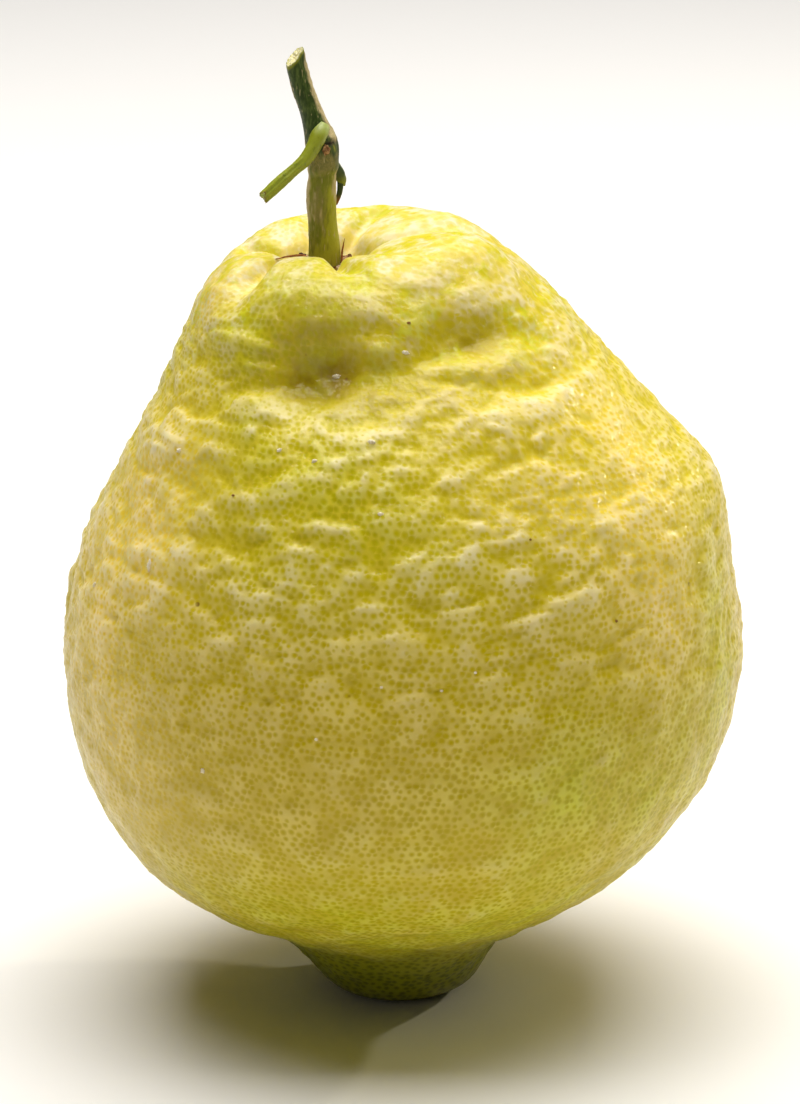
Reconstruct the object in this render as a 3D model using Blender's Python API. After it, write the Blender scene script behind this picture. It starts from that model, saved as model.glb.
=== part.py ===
"""A citron standing on its nipple, with the dry calyx and the cut twig that it was picked with.

Run with: blender --background --python part.py
Metres, +Z up. The origin is the middle of the small flat spot that the fruit rests on, and the side that the
fruit shows best faces -Y. The values below are in millimetres and degrees, and MM turns them into metres.
"""

import math

import bmesh
import bpy
import numpy as np
from mathutils import Matrix, Vector

MM = 0.001
GAP = 0.3  # left between pieces that touch

# The rind is a loft between four upright outlines: left (-X), right (+X), front (-Y) and back (+Y).
# Each row is one level of it, from the flat spot up over the shoulder and down into the stem cavity:
# the level's middle x and y, then its radius and height on the left, right, front and back outline.
FLAT_RADIUS = 8.5
STEM_X = -11.4
STEM_Y = -2.0
FLOOR_Z = 121.3  # bottom of the stem cavity
LEVELS = (
    (0.0, 0.0, FLAT_RADIUS, 0.0, FLAT_RADIUS, 0.0, FLAT_RADIUS, 0.0, FLAT_RADIUS, 0.0),
    (0.0, 0.0, 11.6, 1.9, 12.6, 2.1, 12.4, 1.6, 12.0, 1.7),
    (0.0, 0.0, 15.0, 6.0, 15.4, 6.6, 17.0, 6.2, 15.0, 6.2),
    (0.0, 0.0, 20.0, 11.4, 18.6, 11.8, 22.6, 12.2, 20.0, 11.4),
    (0.0, 0.0, 34.4, 17.9, 28.8, 17.2, 32.6, 19.2, 31.5, 17.5),
    (0.4, 0.0, 45.9, 28.8, 41.6, 27.5, 43.8, 28.2, 44.0, 28.0),
    (0.9, 0.0, 52.6, 42.5, 51.0, 41.5, 51.5, 42.0, 51.5, 42.5),
    (0.9, 0.0, 54.6, 57.5, 54.6, 56.5, 53.5, 57.0, 53.5, 57.5),
    (0.6, 0.0, 52.2, 72.5, 53.4, 72.0, 51.5, 72.0, 51.0, 73.0),
    (-0.3, -0.5, 45.6, 86.5, 51.6, 86.0, 46.5, 86.5, 45.5, 88.0),
    (-2.5, -1.0, 36.4, 99.5, 45.4, 97.2, 38.3, 99.5, 38.5, 101.5),
    (-6.0, -1.5, 28.6, 110.0, 38.2, 108.8, 28.0, 109.5, 31.5, 112.5),
    (-9.0, -2.0, 22.4, 117.2, 30.6, 119.6, 19.8, 119.0, 22.6, 121.0),
    (-11.0, -2.0, 13.8, 122.7, 20.5, 127.8, 11.6, 123.6, 13.6, 126.8),
    (STEM_X, STEM_Y, 8.0, 122.9, 9.8, 124.4, 7.4, 122.9, 8.4, 124.0),
    (STEM_X, STEM_Y, 5.6, FLOOR_Z + 0.2, 6.2, FLOOR_Z + 0.3, 5.4, FLOOR_Z + 0.2, 5.8, FLOOR_Z + 0.3),
    (STEM_X, STEM_Y, 3.4, FLOOR_Z, 3.4, FLOOR_Z, 3.4, FLOOR_Z, 3.4, FLOOR_Z),
)
CREST = 13  # the level at the top of the shoulder
CAVITY = 15  # the level where the cavity's floor begins
AROUND = 100  # faces round the rind
RINGS = 57  # rings of points from the flat spot to the cavity floor

# Furrows that run into the cavity and part the shoulder into lobes:
# angle round the stem, depth, half width in degrees, and how far out past the crest each one runs.
FURROWS = (
    (-140.0, 2.8, 8.0, 14.0),
    (-77.0, 2.2, 9.0, 6.0),
    (-38.0, 0.7, 8.0, 5.0),
    (4.0, 1.7, 8.0, 10.0),
    (58.0, 1.7, 9.0, 2.0),
    (103.0, 1.1, 8.0, 2.0),
    (160.0, 1.6, 8.0, 2.0),
)
LOBE_RISE = 0.6

# Bulges and hollows (negative) of the front: middle x and z, half length, half thickness, tilt, height.
FRONT_FORMS = (
    (-13.0, 120.0, 8.0, 4.8, 0.0, 2.2),
    (0.0, 121.5, 7.0, 3.8, 8.0, 1.4),
    (-27.0, 118.5, 5.0, 6.0, 10.0, 0.8),
    (-12.0, 111.4, 8.2, 4.8, 14.0, -3.4),
    (0.0, 112.0, 6.0, 2.2, 12.0, -0.6),
    (11.5, 115.0, 7.5, 3.0, 8.0, -2.0),
    (-3.0, 118.3, 5.5, 1.8, -8.0, 0.8),
    (-2.5, 114.4, 3.4, 1.5, -4.0, 1.2),
    (3.0, 116.0, 2.6, 4.0, -25.0, 1.1),
    (13.5, 119.8, 5.0, 2.2, 0.0, 0.6),
    (-24.0, 114.0, 4.5, 2.2, -3.0, 0.8),
    (-23.5, 110.6, 4.0, 1.5, 15.0, 0.4),
    (-21.0, 108.6, 5.0, 1.5, 5.0, -0.4),
    (-21.5, 105.6, 5.0, 1.8, 3.0, 0.6),
    (-9.0, 106.6, 4.5, 1.8, 0.0, 0.6),
    (-8.0, 103.5, 4.0, 1.5, -2.0, 0.4),
    (3.0, 109.8, 6.0, 1.6, 20.0, 0.4),
    (13.0, 111.4, 6.5, 2.0, -8.0, 0.6),
    (4.5, 107.0, 4.0, 1.6, 12.0, 0.4),
    (13.0, 106.0, 5.5, 1.8, -12.0, 0.5),
    (24.5, 106.0, 7.0, 1.9, 8.0, 0.4),
    (-26.0, 108.0, 5.0, 5.0, 0.0, -0.6),
    (-37.5, 97.5, 6.0, 4.0, 0.0, 1.0),
    (-23.0, 87.5, 7.0, 3.0, 5.0, -0.7),
    (17.0, 103.5, 12.0, 3.0, -3.0, 0.6),
)
# Ledges of the front, each with a steep upper edge: middle x and z, half length, tilt, bend, height.
LEDGES = (
    (-21.5, 113.5, 4.5, 0.0, 1.2, 0.5),
    (-21.0, 110.5, 4.0, 15.0, 0.0, 0.5),
    (-21.0, 106.5, 4.5, 5.0, 1.0, 0.7),
    (-8.5, 107.0, 3.5, -5.0, 0.5, 0.6),
    (-13.5, 104.5, 2.5, 0.0, 1.0, 0.5),
    (-8.0, 104.5, 3.5, 5.0, -1.0, 0.7),
    (0.5, 106.0, 5.5, 10.0, -0.5, 0.5),
    (14.0, 113.0, 7.0, -5.0, 1.5, 0.7),
    (-2.5, 119.8, 4.5, -10.0, 0.5, 0.5),
    (4.5, 107.8, 3.5, 10.0, 1.5, 0.6),
    (15.0, 107.0, 8.0, -5.0, -2.0, 0.8),
    (24.0, 109.5, 3.0, -30.0, 1.0, 0.5),
    (26.5, 107.0, 3.5, 10.0, 1.0, 0.6),
    (-3.0, 102.0, 3.0, 0.0, 1.0, 0.7),
    (3.5, 100.0, 3.5, -5.0, 0.5, 0.8),
    (-9.5, 101.0, 2.5, 5.0, -1.0, 0.7),
    (-14.0, 98.0, 3.5, 5.0, 1.0, 0.8),
    (-3.5, 97.5, 3.5, -5.0, 0.5, 0.6),
    (11.5, 99.5, 4.0, 15.0, 0.0, 0.6),
    (24.0, 97.0, 4.0, -5.0, 0.5, 0.7),
    (-28.0, 101.0, 4.5, 20.0, -0.5, 0.8),
    (-34.0, 98.5, 2.5, 20.0, 0.5, 0.7),
    (-28.0, 93.5, 3.0, 10.0, 0.5, 0.6),
    (-33.0, 91.0, 4.0, 20.0, -0.5, 0.7),
    (-39.0, 92.0, 4.5, 25.0, 0.0, 0.6),
    (-19.5, 90.0, 3.5, 0.0, 0.5, 0.6),
    (-9.0, 92.5, 3.5, 10.0, -1.0, 0.7),
    (-12.0, 88.0, 3.5, 0.0, 1.0, 0.6),
    (-21.0, 82.5, 5.5, 15.0, 0.5, 0.5),
    (15.5, 91.5, 4.5, -5.0, 1.0, 0.5),
    (1.5, 87.0, 3.5, 0.0, 1.0, 0.5),
    (24.0, 86.0, 4.0, -5.0, 1.0, 0.5),
    (-40.5, 77.5, 4.5, 20.0, 1.5, 0.6),
)
LEDGE_SHARE = 0.32  # of those heights
LEDGE_REACH = (1.6, 0.3)  # how far a ledge reaches up and down: this much, and this share of its half length
LEDGE_ROUNDING = (0.5, 0.12)  # the same for the width of its step
LEDGE_STRETCH = 1.15  # it fades out a little past its ends
# Bulges and hollows of the sides and back: angle, middle z, half width, half height, height.
SIDE_FORMS = (
    (62.0, 126.0, 7.0, 5.0, 0.9),
    (25.0, 118.0, 6.0, 5.0, 0.9),
    (8.0, 111.0, 7.0, 4.0, 0.5),
    (-4.0, 91.0, 8.0, 5.0, 1.2),
    (170.0, 108.0, 8.0, 6.0, -0.8),
    (120.0, 96.0, 14.0, 8.0, 1.4),
    (75.0, 100.0, 13.0, 7.0, -1.5),
    (95.0, 78.0, 16.0, 7.0, 1.0),
    (145.0, 112.0, 10.0, 6.0, -1.4),
)

# The folded rind: broad swells, then mounds and knobs with a step at their upper edge and creases round them,
# then a net of low ridges and shallow dimples. All are wider than they are tall, and the folds lean upwards.
SWELL_SIZE = 17.0
SWELL_HEIGHT = 1.6
MOUND_SIZE = 7.6
MOUND_STEP = 0.85
MOUND_DEPTH = 0.5
KNOB_SIZE = 4.0
KNOB_STEP = 0.6
KNOB_DEPTH = 0.45
NET_SIZE = 4.2
NET_HEIGHT = 0.36
NET_WIDTH = 0.42
NET_SHARE = 0.6  # share of the net's height low down, then what is added to it between two heights
NET_STEPS = ((0.4, 40.0, 75.0), (-0.3, 80.0, 92.0), (-0.25, 100.0, 112.0))
NET_SQUASH = 1.15
DIMPLE_SIZE = 6.5
DIMPLE_HEIGHT = 0.95
CELL_SHARPNESS = 7.0  # how suddenly one mound's height gives way to the next one's
CREASE_WIDTH = 0.5  # share of a mound's size
CREASE_ROUNDING = 0.94
PILLOW_MEAN = 0.85
WARP_SIZE = 9.0  # the outlines are pushed about by noise of this size
MOUND_WARP = 4.5  # and about this far
KNOB_WARP = 3.0
PATCH_SIZE = 15.0  # the folds are deeper and flatter in patches of this size
PATCH_MEAN = 0.85
PATCH_RANGE = 0.7
SQUASH = 1.4
SLANT = 0.2  # the folds climb this much towards the right side
SLANT_START = 6.0
LEAN = 0.16
SMOOTH_BELOW = 48.0  # between these heights the folds grow deeper
ROUGH_ABOVE = 82.0
LEAST_FOLD = 0.2  # share of their depth that they keep low down
MOST_FOLD = 0.62  # and high up
NECK_FOLD = 1.15  # on the front of the neck
RIGHT_FOLD = 0.6  # on the right flank
SHOULDER_FOLD = 0.5  # and on the lobes of the shoulder

# The twig, from its foot to its cut top: x, y, z and radius. It kinks at the node that the side stalk leaves.
FOOT_RADIUS = 2.6
SOCKET_DEPTH = 6.0
STEM_PATH = (
    (STEM_X, STEM_Y, FLOOR_Z - SOCKET_DEPTH + GAP, FOOT_RADIUS),
    (STEM_X, STEM_Y, FLOOR_Z + 1.0, FOOT_RADIUS),
    (-11.45, -2.0, 125.5, 2.45),
    (-11.7, -2.0, 129.2, 2.25),
    (-11.85, -2.0, 133.0, 2.35),
    (-11.75, -2.0, 136.0, 2.2),
    (-11.5, -2.0, 138.7, 2.35),
    (-11.7, -2.0, 141.0, 2.6),
    (-12.1, -2.0, 142.6, 2.45),
    (-12.7, -2.0, 144.3, 2.05),
    (-13.4, -2.0, 146.4, 1.75),
    (-14.9, -2.0, 150.8, 1.65),
    (-15.7, -2.0, 154.0, 1.6),
    (-16.4, -2.0, 158.5, 1.45),
)
CUT_MIDDLE = (-15.9, -2.0, 155.4)
CUT_FACES = (-0.68, -0.28, 0.67)
STALK_PATH = (
    (-11.7, -2.6, 144.5, 1.25),
    (-12.1, -3.7, 143.5, 1.35),
    (-13.0, -4.6, 141.7, 1.16),
    (-14.45, -5.4, 139.6, 1.05),
    (-15.75, -5.8, 138.5, 0.92),
    (-18.2, -6.4, 136.4, 1.02),
    (-21.2, -7.0, 133.7, 0.9),
)
SPUR_PATH = (
    (-11.0, -1.4, 139.4, 0.9),
    (-10.0, -0.8, 137.9, 1.0),
    (-8.9, -0.2, 135.9, 0.9),
    (-8.4, 0.2, 134.7, 0.55),
)
SPUR_TIP_PATH = (
    (-8.8, -0.1, 135.4, 0.6),
    (-9.0, -0.1, 133.6, 0.42),
    (-9.45, -0.2, 131.5, 0.2),
)
BUD_AT = (-11.1, -4.3, 141.1)
BUD_RADIUS = 0.65

# The dry calyx: a thin collar of five pointed lobes round the stem's foot. One of them curls up.
CALYX_THICKNESS = 0.7
CALYX_EDGE = 0.35
CALYX_INNER = FOOT_RADIUS + GAP
CALYX_WAIST = 3.9
CALYX_REACH = 5.3
CALYX_LOBES = 5
CALYX_TURN = 30.0
CALYX_CURL = 0.6
CALYX_RISE = 0.9  # of its edge
CALYX_GAP = GAP + 0.05


def noise_field(points, seed):
    """Smooth random values, about -0.7 to 0.7, from a seeded random slope at each corner of unit cells."""
    draw = np.random.default_rng(seed)
    order = np.tile(draw.permutation(256), 2)
    slopes = draw.normal(size=(256, 3))
    slopes /= np.linalg.norm(slopes, axis=1)[:, None]
    cell = np.floor(points).astype(int)
    inside = points - cell
    fade = inside**3 * (inside * (inside * 6 - 15) + 10)
    total = np.zeros(len(points))
    for corner in np.ndindex(2, 2, 2):
        x, y, z = (cell + corner).T & 255
        slope = slopes[order[order[order[x] + y] + z]]
        weight = np.where(corner, fade, 1 - fade).prod(axis=1)
        total += weight * ((inside - corner) * slope).sum(axis=1)
    return total


def cell_field(points, seed):
    """Cells round a seeded random spot in each unit cube: how high each point is above the spots near it, and
    how much farther off its second nearest spot is than its nearest."""
    draw = np.random.default_rng(seed)
    order = np.tile(draw.permutation(256), 2)
    spots = 0.1 + 0.8 * draw.random((256, 3))
    cell = np.floor(points).astype(int)
    nearest = np.full(len(points), 9.0)
    second = nearest.copy()
    weights = np.full(len(points), 1e-12)
    heights = np.zeros(len(points))
    for step in np.ndindex(3, 3, 3):
        corner = cell + step - 1
        x, y, z = corner.T & 255
        away = points - corner - spots[order[order[order[x] + y] + z]]
        distance = np.linalg.norm(away, axis=1)
        weight = np.exp(-CELL_SHARPNESS * distance**2)
        weights += weight
        heights += weight * away[:, 2]
        second = np.minimum(second, np.maximum(nearest, distance))
        nearest = np.minimum(nearest, distance)
    return heights / weights, second - nearest


def smooth_step(value, low, high):
    """0 below low, 1 above high, and a smooth rise between them."""
    t = np.clip((value - low) / (high - low), 0, 1)
    return t * t * (3 - 2 * t)


def curve_through(knots, values, at):
    """Values at the distances in at, on a smooth curve through the row of values of each knot."""
    slopes = np.gradient(values, knots, axis=0)
    k = np.clip(np.searchsorted(knots, at, side="right") - 1, 0, len(knots) - 2)
    span = (knots[k + 1] - knots[k])[:, None]
    t = (at - knots[k])[:, None] / span
    return (
        (2 * t**3 - 3 * t**2 + 1) * values[k]
        + (t**3 - 2 * t**2 + t) * slopes[k] * span
        + (3 * t**2 - 2 * t**3) * values[k + 1]
        + (t**3 - t**2) * slopes[k + 1] * span
    )


def level_distances():
    """How far each level of the loft is along the rind, from the edge of the flat spot."""
    table = np.array(LEVELS)
    radius = table[:, 2::2].mean(axis=1)
    height = table[:, 3::2].mean(axis=1)
    steps = np.hypot(np.diff(radius), np.diff(height))
    return np.concatenate([[0], np.cumsum(steps)])


def ring_distances():
    """Where the rings of points lie along the rind: closer together on its folded upper half."""
    fine = np.linspace(0, level_distances()[-1], 400)
    count = np.cumsum(1 + 0.8 * smooth_step(fine, 55.0, 95.0))
    return np.interp(np.linspace(count[0], count[-1], RINGS), count, fine)


def loft_points(along, angle):
    """Points of the plain loft, for distances along the rind and angles round it."""
    row = curve_through(level_distances(), np.array(LEVELS), along)
    c, s = np.cos(angle), np.sin(angle)
    shares = np.stack([c * c * (c < 0), c * c * (c >= 0), s * s * (s < 0), s * s * (s >= 0)], axis=1)
    radius = (row[:, 2::2] * shares).sum(axis=1)
    height = (row[:, 3::2] * shares).sum(axis=1)
    return np.stack([row[:, 0] + radius * c, row[:, 1] + radius * s, height], axis=1)


def turn_from(degrees, angle):
    """How far the angles are turned from a direction in degrees, from -180 to 180."""
    return (np.degrees(angle) - degrees + 180) % 360 - 180


def shoulder_relief(along, angle):
    """The lobes round the stem cavity, and the furrows between them."""
    knots = level_distances()
    crest = knots[CREST]
    relief = LOBE_RISE * smooth_step(along, crest - 14, crest - 3)
    for degrees, depth, half_width, reach in FURROWS:
        groove = depth * np.exp(-((turn_from(degrees, angle) / half_width) ** 2))
        relief -= groove * smooth_step(along, crest - reach, crest - 0.3 * reach + 2)
    return relief


def form_relief(points, angle):
    """The single bulges and hollows, each a smooth bump in the front view or round the fruit."""
    x, y, z = points.T
    front = smooth_step(-y, 0, 8)
    relief = np.zeros(len(points))
    for mid_x, mid_z, half_length, half_thickness, tilt, height in FRONT_FORMS:
        c, s = math.cos(math.radians(tilt)), math.sin(math.radians(tilt))
        lengthwise = ((x - mid_x) * c + (z - mid_z) * s) / half_length
        across = ((z - mid_z) * c - (x - mid_x) * s) / half_thickness
        relief += front * height * np.exp(-(lengthwise**2) - across**2)
    for degrees, mid_z, half_width, half_height, height in SIDE_FORMS:
        aside = np.radians(turn_from(degrees, angle)) * np.hypot(x, y) / half_width
        relief += height * np.exp(-(aside**2) - ((z - mid_z) / half_height) ** 2)
    return relief


def ledge_relief(points):
    """The ledges: each bulges below its bent edge and is hollow above it."""
    x, y, z = points.T
    relief = np.zeros(len(points))
    for mid_x, mid_z, half_length, tilt, bend, height in LEDGES:
        c, s = math.cos(math.radians(tilt)), math.sin(math.radians(tilt))
        lengthwise = ((x - mid_x) * c + (z - mid_z) * s) / half_length
        above = (z - mid_z) * c - (x - mid_x) * s - bend * (1 - np.minimum(lengthwise**2, 2.0))
        reach = LEDGE_REACH[0] + LEDGE_REACH[1] * half_length
        rounding = LEDGE_ROUNDING[0] + LEDGE_ROUNDING[1] * half_length
        step = np.tanh(above / rounding) * np.exp(-((above / reach) ** 2))
        relief -= LEDGE_SHARE * height * step * np.exp(-((lengthwise / LEDGE_STRETCH) ** 4))
    return relief * smooth_step(-y, 4, 16)


def mound_relief(points, size, step, depth, seed):
    """Mounds that rise to their upper edge, drop to the next mound there, and have creases round them."""
    heights, inside = cell_field(points / size, seed)
    crease = 1 - np.clip(inside / CREASE_WIDTH, 0, 1)
    pillow = np.sqrt(1 - CREASE_ROUNDING * crease**2)
    return step * heights + depth * (pillow - PILLOW_MEAN)


def fold_relief(points, along):
    """All folds of the rind, which end at the flat spot and in the stem cavity."""
    x, y, z = points.T
    knots = level_distances()
    crest = knots[CREST]
    slanted = points.copy()
    slanted[:, 2] -= SLANT * np.logaddexp(0, x / SLANT_START) * SLANT_START
    squashed = slanted * (1, 1, SQUASH)
    shifts = (40.7, 61.3, 83.1)
    warp = np.stack([noise_field(squashed / WARP_SIZE + shift, seed=12) for shift in shifts], axis=1)
    folds = SWELL_HEIGHT * noise_field(squashed / SWELL_SIZE + 5.3, seed=11)
    folds += mound_relief(squashed + MOUND_WARP * warp, MOUND_SIZE, MOUND_STEP, MOUND_DEPTH, seed=13)
    folds += mound_relief(squashed + KNOB_WARP * warp, KNOB_SIZE, KNOB_STEP, KNOB_DEPTH, seed=14)

    strength = LEAST_FOLD + (MOST_FOLD - LEAST_FOLD) * smooth_step(z, SMOOTH_BELOW, ROUGH_ABOVE)
    strength *= PATCH_MEAN + PATCH_RANGE * noise_field(squashed / PATCH_SIZE + 7.7, seed=18)
    strength *= 1 - (1 - NECK_FOLD) * smooth_step(-y, 4, 18) * smooth_step(z, 98, 108)
    strength *= 1 - (1 - RIGHT_FOLD) * smooth_step(x, 26, 44) * smooth_step(z, 60, 80)
    strength *= 1 - (1 - SHOULDER_FOLD) * smooth_step(along, crest - 22, crest - 4)

    _, inside = cell_field((slanted * (1, 1, NET_SQUASH) + KNOB_WARP * warp) / NET_SIZE, seed=15)
    net = NET_HEIGHT * (np.exp(-((inside / NET_WIDTH) ** 2)) - 0.3)
    net += DIMPLE_HEIGHT * noise_field(slanted / DIMPLE_SIZE, seed=19)
    net *= NET_SHARE + sum(more * smooth_step(z, low, high) for more, low, high in NET_STEPS)
    ends = smooth_step(along, 1, 12) * (1 - smooth_step(along, crest - 2, knots[CAVITY] - 1))
    return (folds * strength + net + ledge_relief(points)) * ends


def rind_points(along, angle):
    """Points of the finished rind: the loft, moved out along its normal by the relief."""
    points = loft_points(along, angle)
    step, turn = 0.4, 0.01
    up = loft_points(along + step, angle) - loft_points(along - step, angle)
    up /= np.maximum(np.linalg.norm(up, axis=1)[:, None], 1e-9)
    normal = np.cross(loft_points(along, angle + turn) - loft_points(along, angle - turn), up)
    normal /= np.maximum(np.linalg.norm(normal, axis=1)[:, None], 1e-9)
    folds = fold_relief(points, along)
    relief = shoulder_relief(along, angle) + form_relief(points, angle) + folds
    knots = level_distances()
    crest, floor = knots[CREST], knots[CAVITY]
    relief *= smooth_step(along, 0.5, 6) * (1 - smooth_step(along, 0.35 * crest + 0.65 * floor, floor))
    return points + normal * relief[:, None] + up * LEAN * folds[:, None]


def plain_material(name, colour, roughness):
    made = bpy.data.materials.new(name)
    made.use_nodes = True
    shader = made.node_tree.nodes["Principled BSDF"]
    shader.inputs["Base Color"].default_value = (*colour, 1.0)
    shader.inputs["Roughness"].default_value = roughness
    shader.inputs["Metallic"].default_value = 0.0
    return made


def add_object(name, mesh, collection):
    made = bpy.data.objects.new(name, mesh)
    collection.objects.link(made)
    return made


def mesh_of(shape, name):
    """A bmesh as a mesh, with the bmesh freed."""
    mesh = bpy.data.meshes.new(name)
    shape.to_mesh(mesh)
    shape.free()
    return mesh


def evaluated_mesh(obj):
    bpy.context.view_layer.update()
    graph = bpy.context.evaluated_depsgraph_get()
    return bpy.data.meshes.new_from_object(obj.evaluated_get(graph))


def apply_boolean(obj, other, operation):
    """Cuts other from obj or joins it to obj, and keeps other as a hidden helper."""
    other.hide_render = True
    other.display_type = "WIRE"
    modifier = obj.modifiers.new(operation.title(), "BOOLEAN")
    modifier.object = other
    modifier.operation = operation
    modifier.solver = "EXACT"
    mesh = evaluated_mesh(obj)
    obj.modifiers.clear()
    obj.data = mesh


def build_fruit(pieces, helpers):
    """The rind: a sphere whose rings are moved onto the loft, with a blind hole for the stem's foot."""
    shape = bmesh.new()
    bmesh.ops.create_uvsphere(shape, u_segments=AROUND, v_segments=RINGS + 1, radius=1.0)
    sphere = np.array([vertex.co for vertex in shape.verts])
    share = 0.5 + np.arcsin(np.clip(sphere[:, 2], -1, 1)) / math.pi  # of the way from the lower pole up
    ring = np.rint(share * (RINGS + 1)).astype(int)
    along = ring_distances()[np.clip(ring - 1, 0, RINGS - 1)]
    points = rind_points(along, np.arctan2(sphere[:, 1], sphere[:, 0]))
    points[ring == 0] = (0, 0, 0)
    points[ring == RINGS + 1] = (STEM_X, STEM_Y, FLOOR_Z)
    for vertex, point in zip(shape.verts, points):
        vertex.co = Vector(point) * MM
    fruit = add_object("fruit", mesh_of(shape, "rind"), pieces)

    hole = bmesh.new()
    hole_radius = FOOT_RADIUS + GAP
    bmesh.ops.create_cone(
        hole,
        cap_ends=True,
        segments=28,
        radius1=hole_radius * MM,
        radius2=hole_radius * MM,
        depth=2 * SOCKET_DEPTH * MM,
        matrix=Matrix.Translation(Vector((STEM_X, STEM_Y, FLOOR_Z)) * MM),
    )
    apply_boolean(fruit, add_object("stem_hole", mesh_of(hole, "stem_hole"), helpers), "DIFFERENCE")
    fruit.data.shade_smooth()
    fruit.data.materials.append(plain_material("peel", (0.62, 0.55, 0.12), 0.42))


def build_calyx(pieces):
    """The collar: a torus whose rings are moved onto a star that lies in the cavity, thinner at its edge."""
    around, across = 60, 8
    bpy.ops.mesh.primitive_torus_add(
        major_segments=around, minor_segments=across, major_radius=2.0, minor_radius=1.0
    )
    calyx = bpy.context.object
    for collection in list(calyx.users_collection):
        collection.objects.unlink(calyx)
    pieces.objects.link(calyx)
    calyx.name = "calyx"
    calyx.data.name = "calyx"
    for vertex in calyx.data.vertices:
        x, y, z = vertex.co
        angle = math.atan2(y, x)
        outward = (math.hypot(x, y) - 1) / 2  # 0 at the hole, 1 at the star's edge
        turn = math.radians(turn_from(CALYX_TURN, angle))
        point_share = abs(math.cos(CALYX_LOBES * turn / 2)) ** 1.6
        curl = math.exp(-((math.degrees(turn) / 9) ** 2))
        edge = CALYX_WAIST + (CALYX_REACH - CALYX_WAIST) * point_share - CALYX_RISE * curl
        radius = CALYX_INNER + (edge - CALYX_INNER) * outward
        thickness = CALYX_THICKNESS + (CALYX_EDGE - CALYX_THICKNESS) * outward
        height = FLOOR_Z + CALYX_GAP + thickness / 2 * (1 + z)
        height += CALYX_RISE * outward**3 + CALYX_CURL * curl * outward**2
        vertex.co = (
            (STEM_X + radius * math.cos(angle)) * MM,
            (STEM_Y + radius * math.sin(angle)) * MM,
            height * MM,
        )
    calyx.data.shade_smooth()
    calyx.data.materials.append(plain_material("dry_calyx", (0.23, 0.14, 0.07), 0.85))


def tube(name, path, steps, collection):
    """A closed round tube on a smooth curve through the points of a path: x, y, z and radius."""
    path = np.array(path)
    knots = np.concatenate([[0], np.cumsum(np.linalg.norm(np.diff(path[:, :3], axis=0), axis=1))])
    rows = curve_through(knots, path, np.linspace(0, knots[-1], steps))
    curve = bpy.data.curves.new(name, "CURVE")
    curve.dimensions = "3D"
    curve.bevel_depth = MM
    curve.bevel_resolution = 6
    curve.use_fill_caps = True
    spline = curve.splines.new("POLY")
    spline.points.add(steps - 1)
    for point, (x, y, z, radius) in zip(spline.points, rows):
        point.co = (x * MM, y * MM, z * MM, 1.0)
        point.radius = radius
    source = add_object(name + "_curve", curve, collection)
    mesh = evaluated_mesh(source)
    bpy.data.objects.remove(source)
    shape = bmesh.new()
    shape.from_mesh(mesh)
    bmesh.ops.remove_doubles(shape, verts=shape.verts, dist=1e-6)
    return add_object(name, mesh_of(shape, name), collection)


def build_stem(pieces, helpers):
    """The twig with its side stalk, spur and dry bud grown onto it, and its top cut off on a slant."""
    stem = tube("stem", STEM_PATH, 40, pieces)
    apply_boolean(stem, tube("side_stalk", STALK_PATH, 16, helpers), "UNION")
    apply_boolean(stem, tube("spur", SPUR_PATH, 8, helpers), "UNION")
    apply_boolean(stem, tube("spur_tip", SPUR_TIP_PATH, 6, helpers), "UNION")

    bud = bmesh.new()
    bmesh.ops.create_icosphere(
        bud, subdivisions=2, radius=BUD_RADIUS * MM, matrix=Matrix.Translation(Vector(BUD_AT) * MM)
    )
    apply_boolean(stem, add_object("bud", mesh_of(bud, "bud"), helpers), "UNION")

    block = bmesh.new()
    size = 8.0
    faces = Vector(CUT_FACES).normalized()
    middle = (Vector(CUT_MIDDLE) + faces * size / 2) * MM
    turn = faces.to_track_quat("Z", "Y").to_matrix().to_4x4()
    bmesh.ops.create_cube(block, size=size * MM, matrix=Matrix.Translation(middle) @ turn)
    apply_boolean(stem, add_object("top_cut", mesh_of(block, "top_cut"), helpers), "DIFFERENCE")
    stem.data.shade_smooth()
    stem.data.set_sharp_from_angle(angle=math.radians(50))
    stem.data.materials.append(plain_material("twig", (0.16, 0.19, 0.05), 0.6))


def main():
    for obj in list(bpy.data.objects):
        bpy.data.objects.remove(obj)
    pieces = bpy.data.collections.new("citron")
    helpers = bpy.data.collections.new("helpers")
    for collection in (pieces, helpers):
        bpy.context.scene.collection.children.link(collection)
    build_fruit(pieces, helpers)
    build_calyx(pieces)
    build_stem(pieces, helpers)


main()
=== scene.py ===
# The looks of a citron that stands on its nipple: folded waxy rind, dry calyx and the twig it hung on.
import math

import bmesh
import bpy
import numpy as np
from mathutils import Matrix, Vector


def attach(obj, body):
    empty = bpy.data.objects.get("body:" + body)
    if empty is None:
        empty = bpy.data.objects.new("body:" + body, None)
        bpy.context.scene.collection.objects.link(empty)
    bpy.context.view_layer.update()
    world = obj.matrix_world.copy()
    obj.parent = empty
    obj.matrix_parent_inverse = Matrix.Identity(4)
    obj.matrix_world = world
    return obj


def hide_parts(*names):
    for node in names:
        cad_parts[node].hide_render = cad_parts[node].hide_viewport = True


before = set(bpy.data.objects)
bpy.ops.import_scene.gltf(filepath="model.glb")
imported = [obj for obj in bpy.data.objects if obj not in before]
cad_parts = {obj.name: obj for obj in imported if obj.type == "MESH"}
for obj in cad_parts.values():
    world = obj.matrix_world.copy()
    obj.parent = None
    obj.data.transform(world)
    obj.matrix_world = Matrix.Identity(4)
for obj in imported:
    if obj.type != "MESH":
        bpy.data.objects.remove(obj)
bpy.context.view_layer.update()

mm = 0.001  # every shape below is worked out in millimetres


# Stage: camera, floor and light

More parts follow.
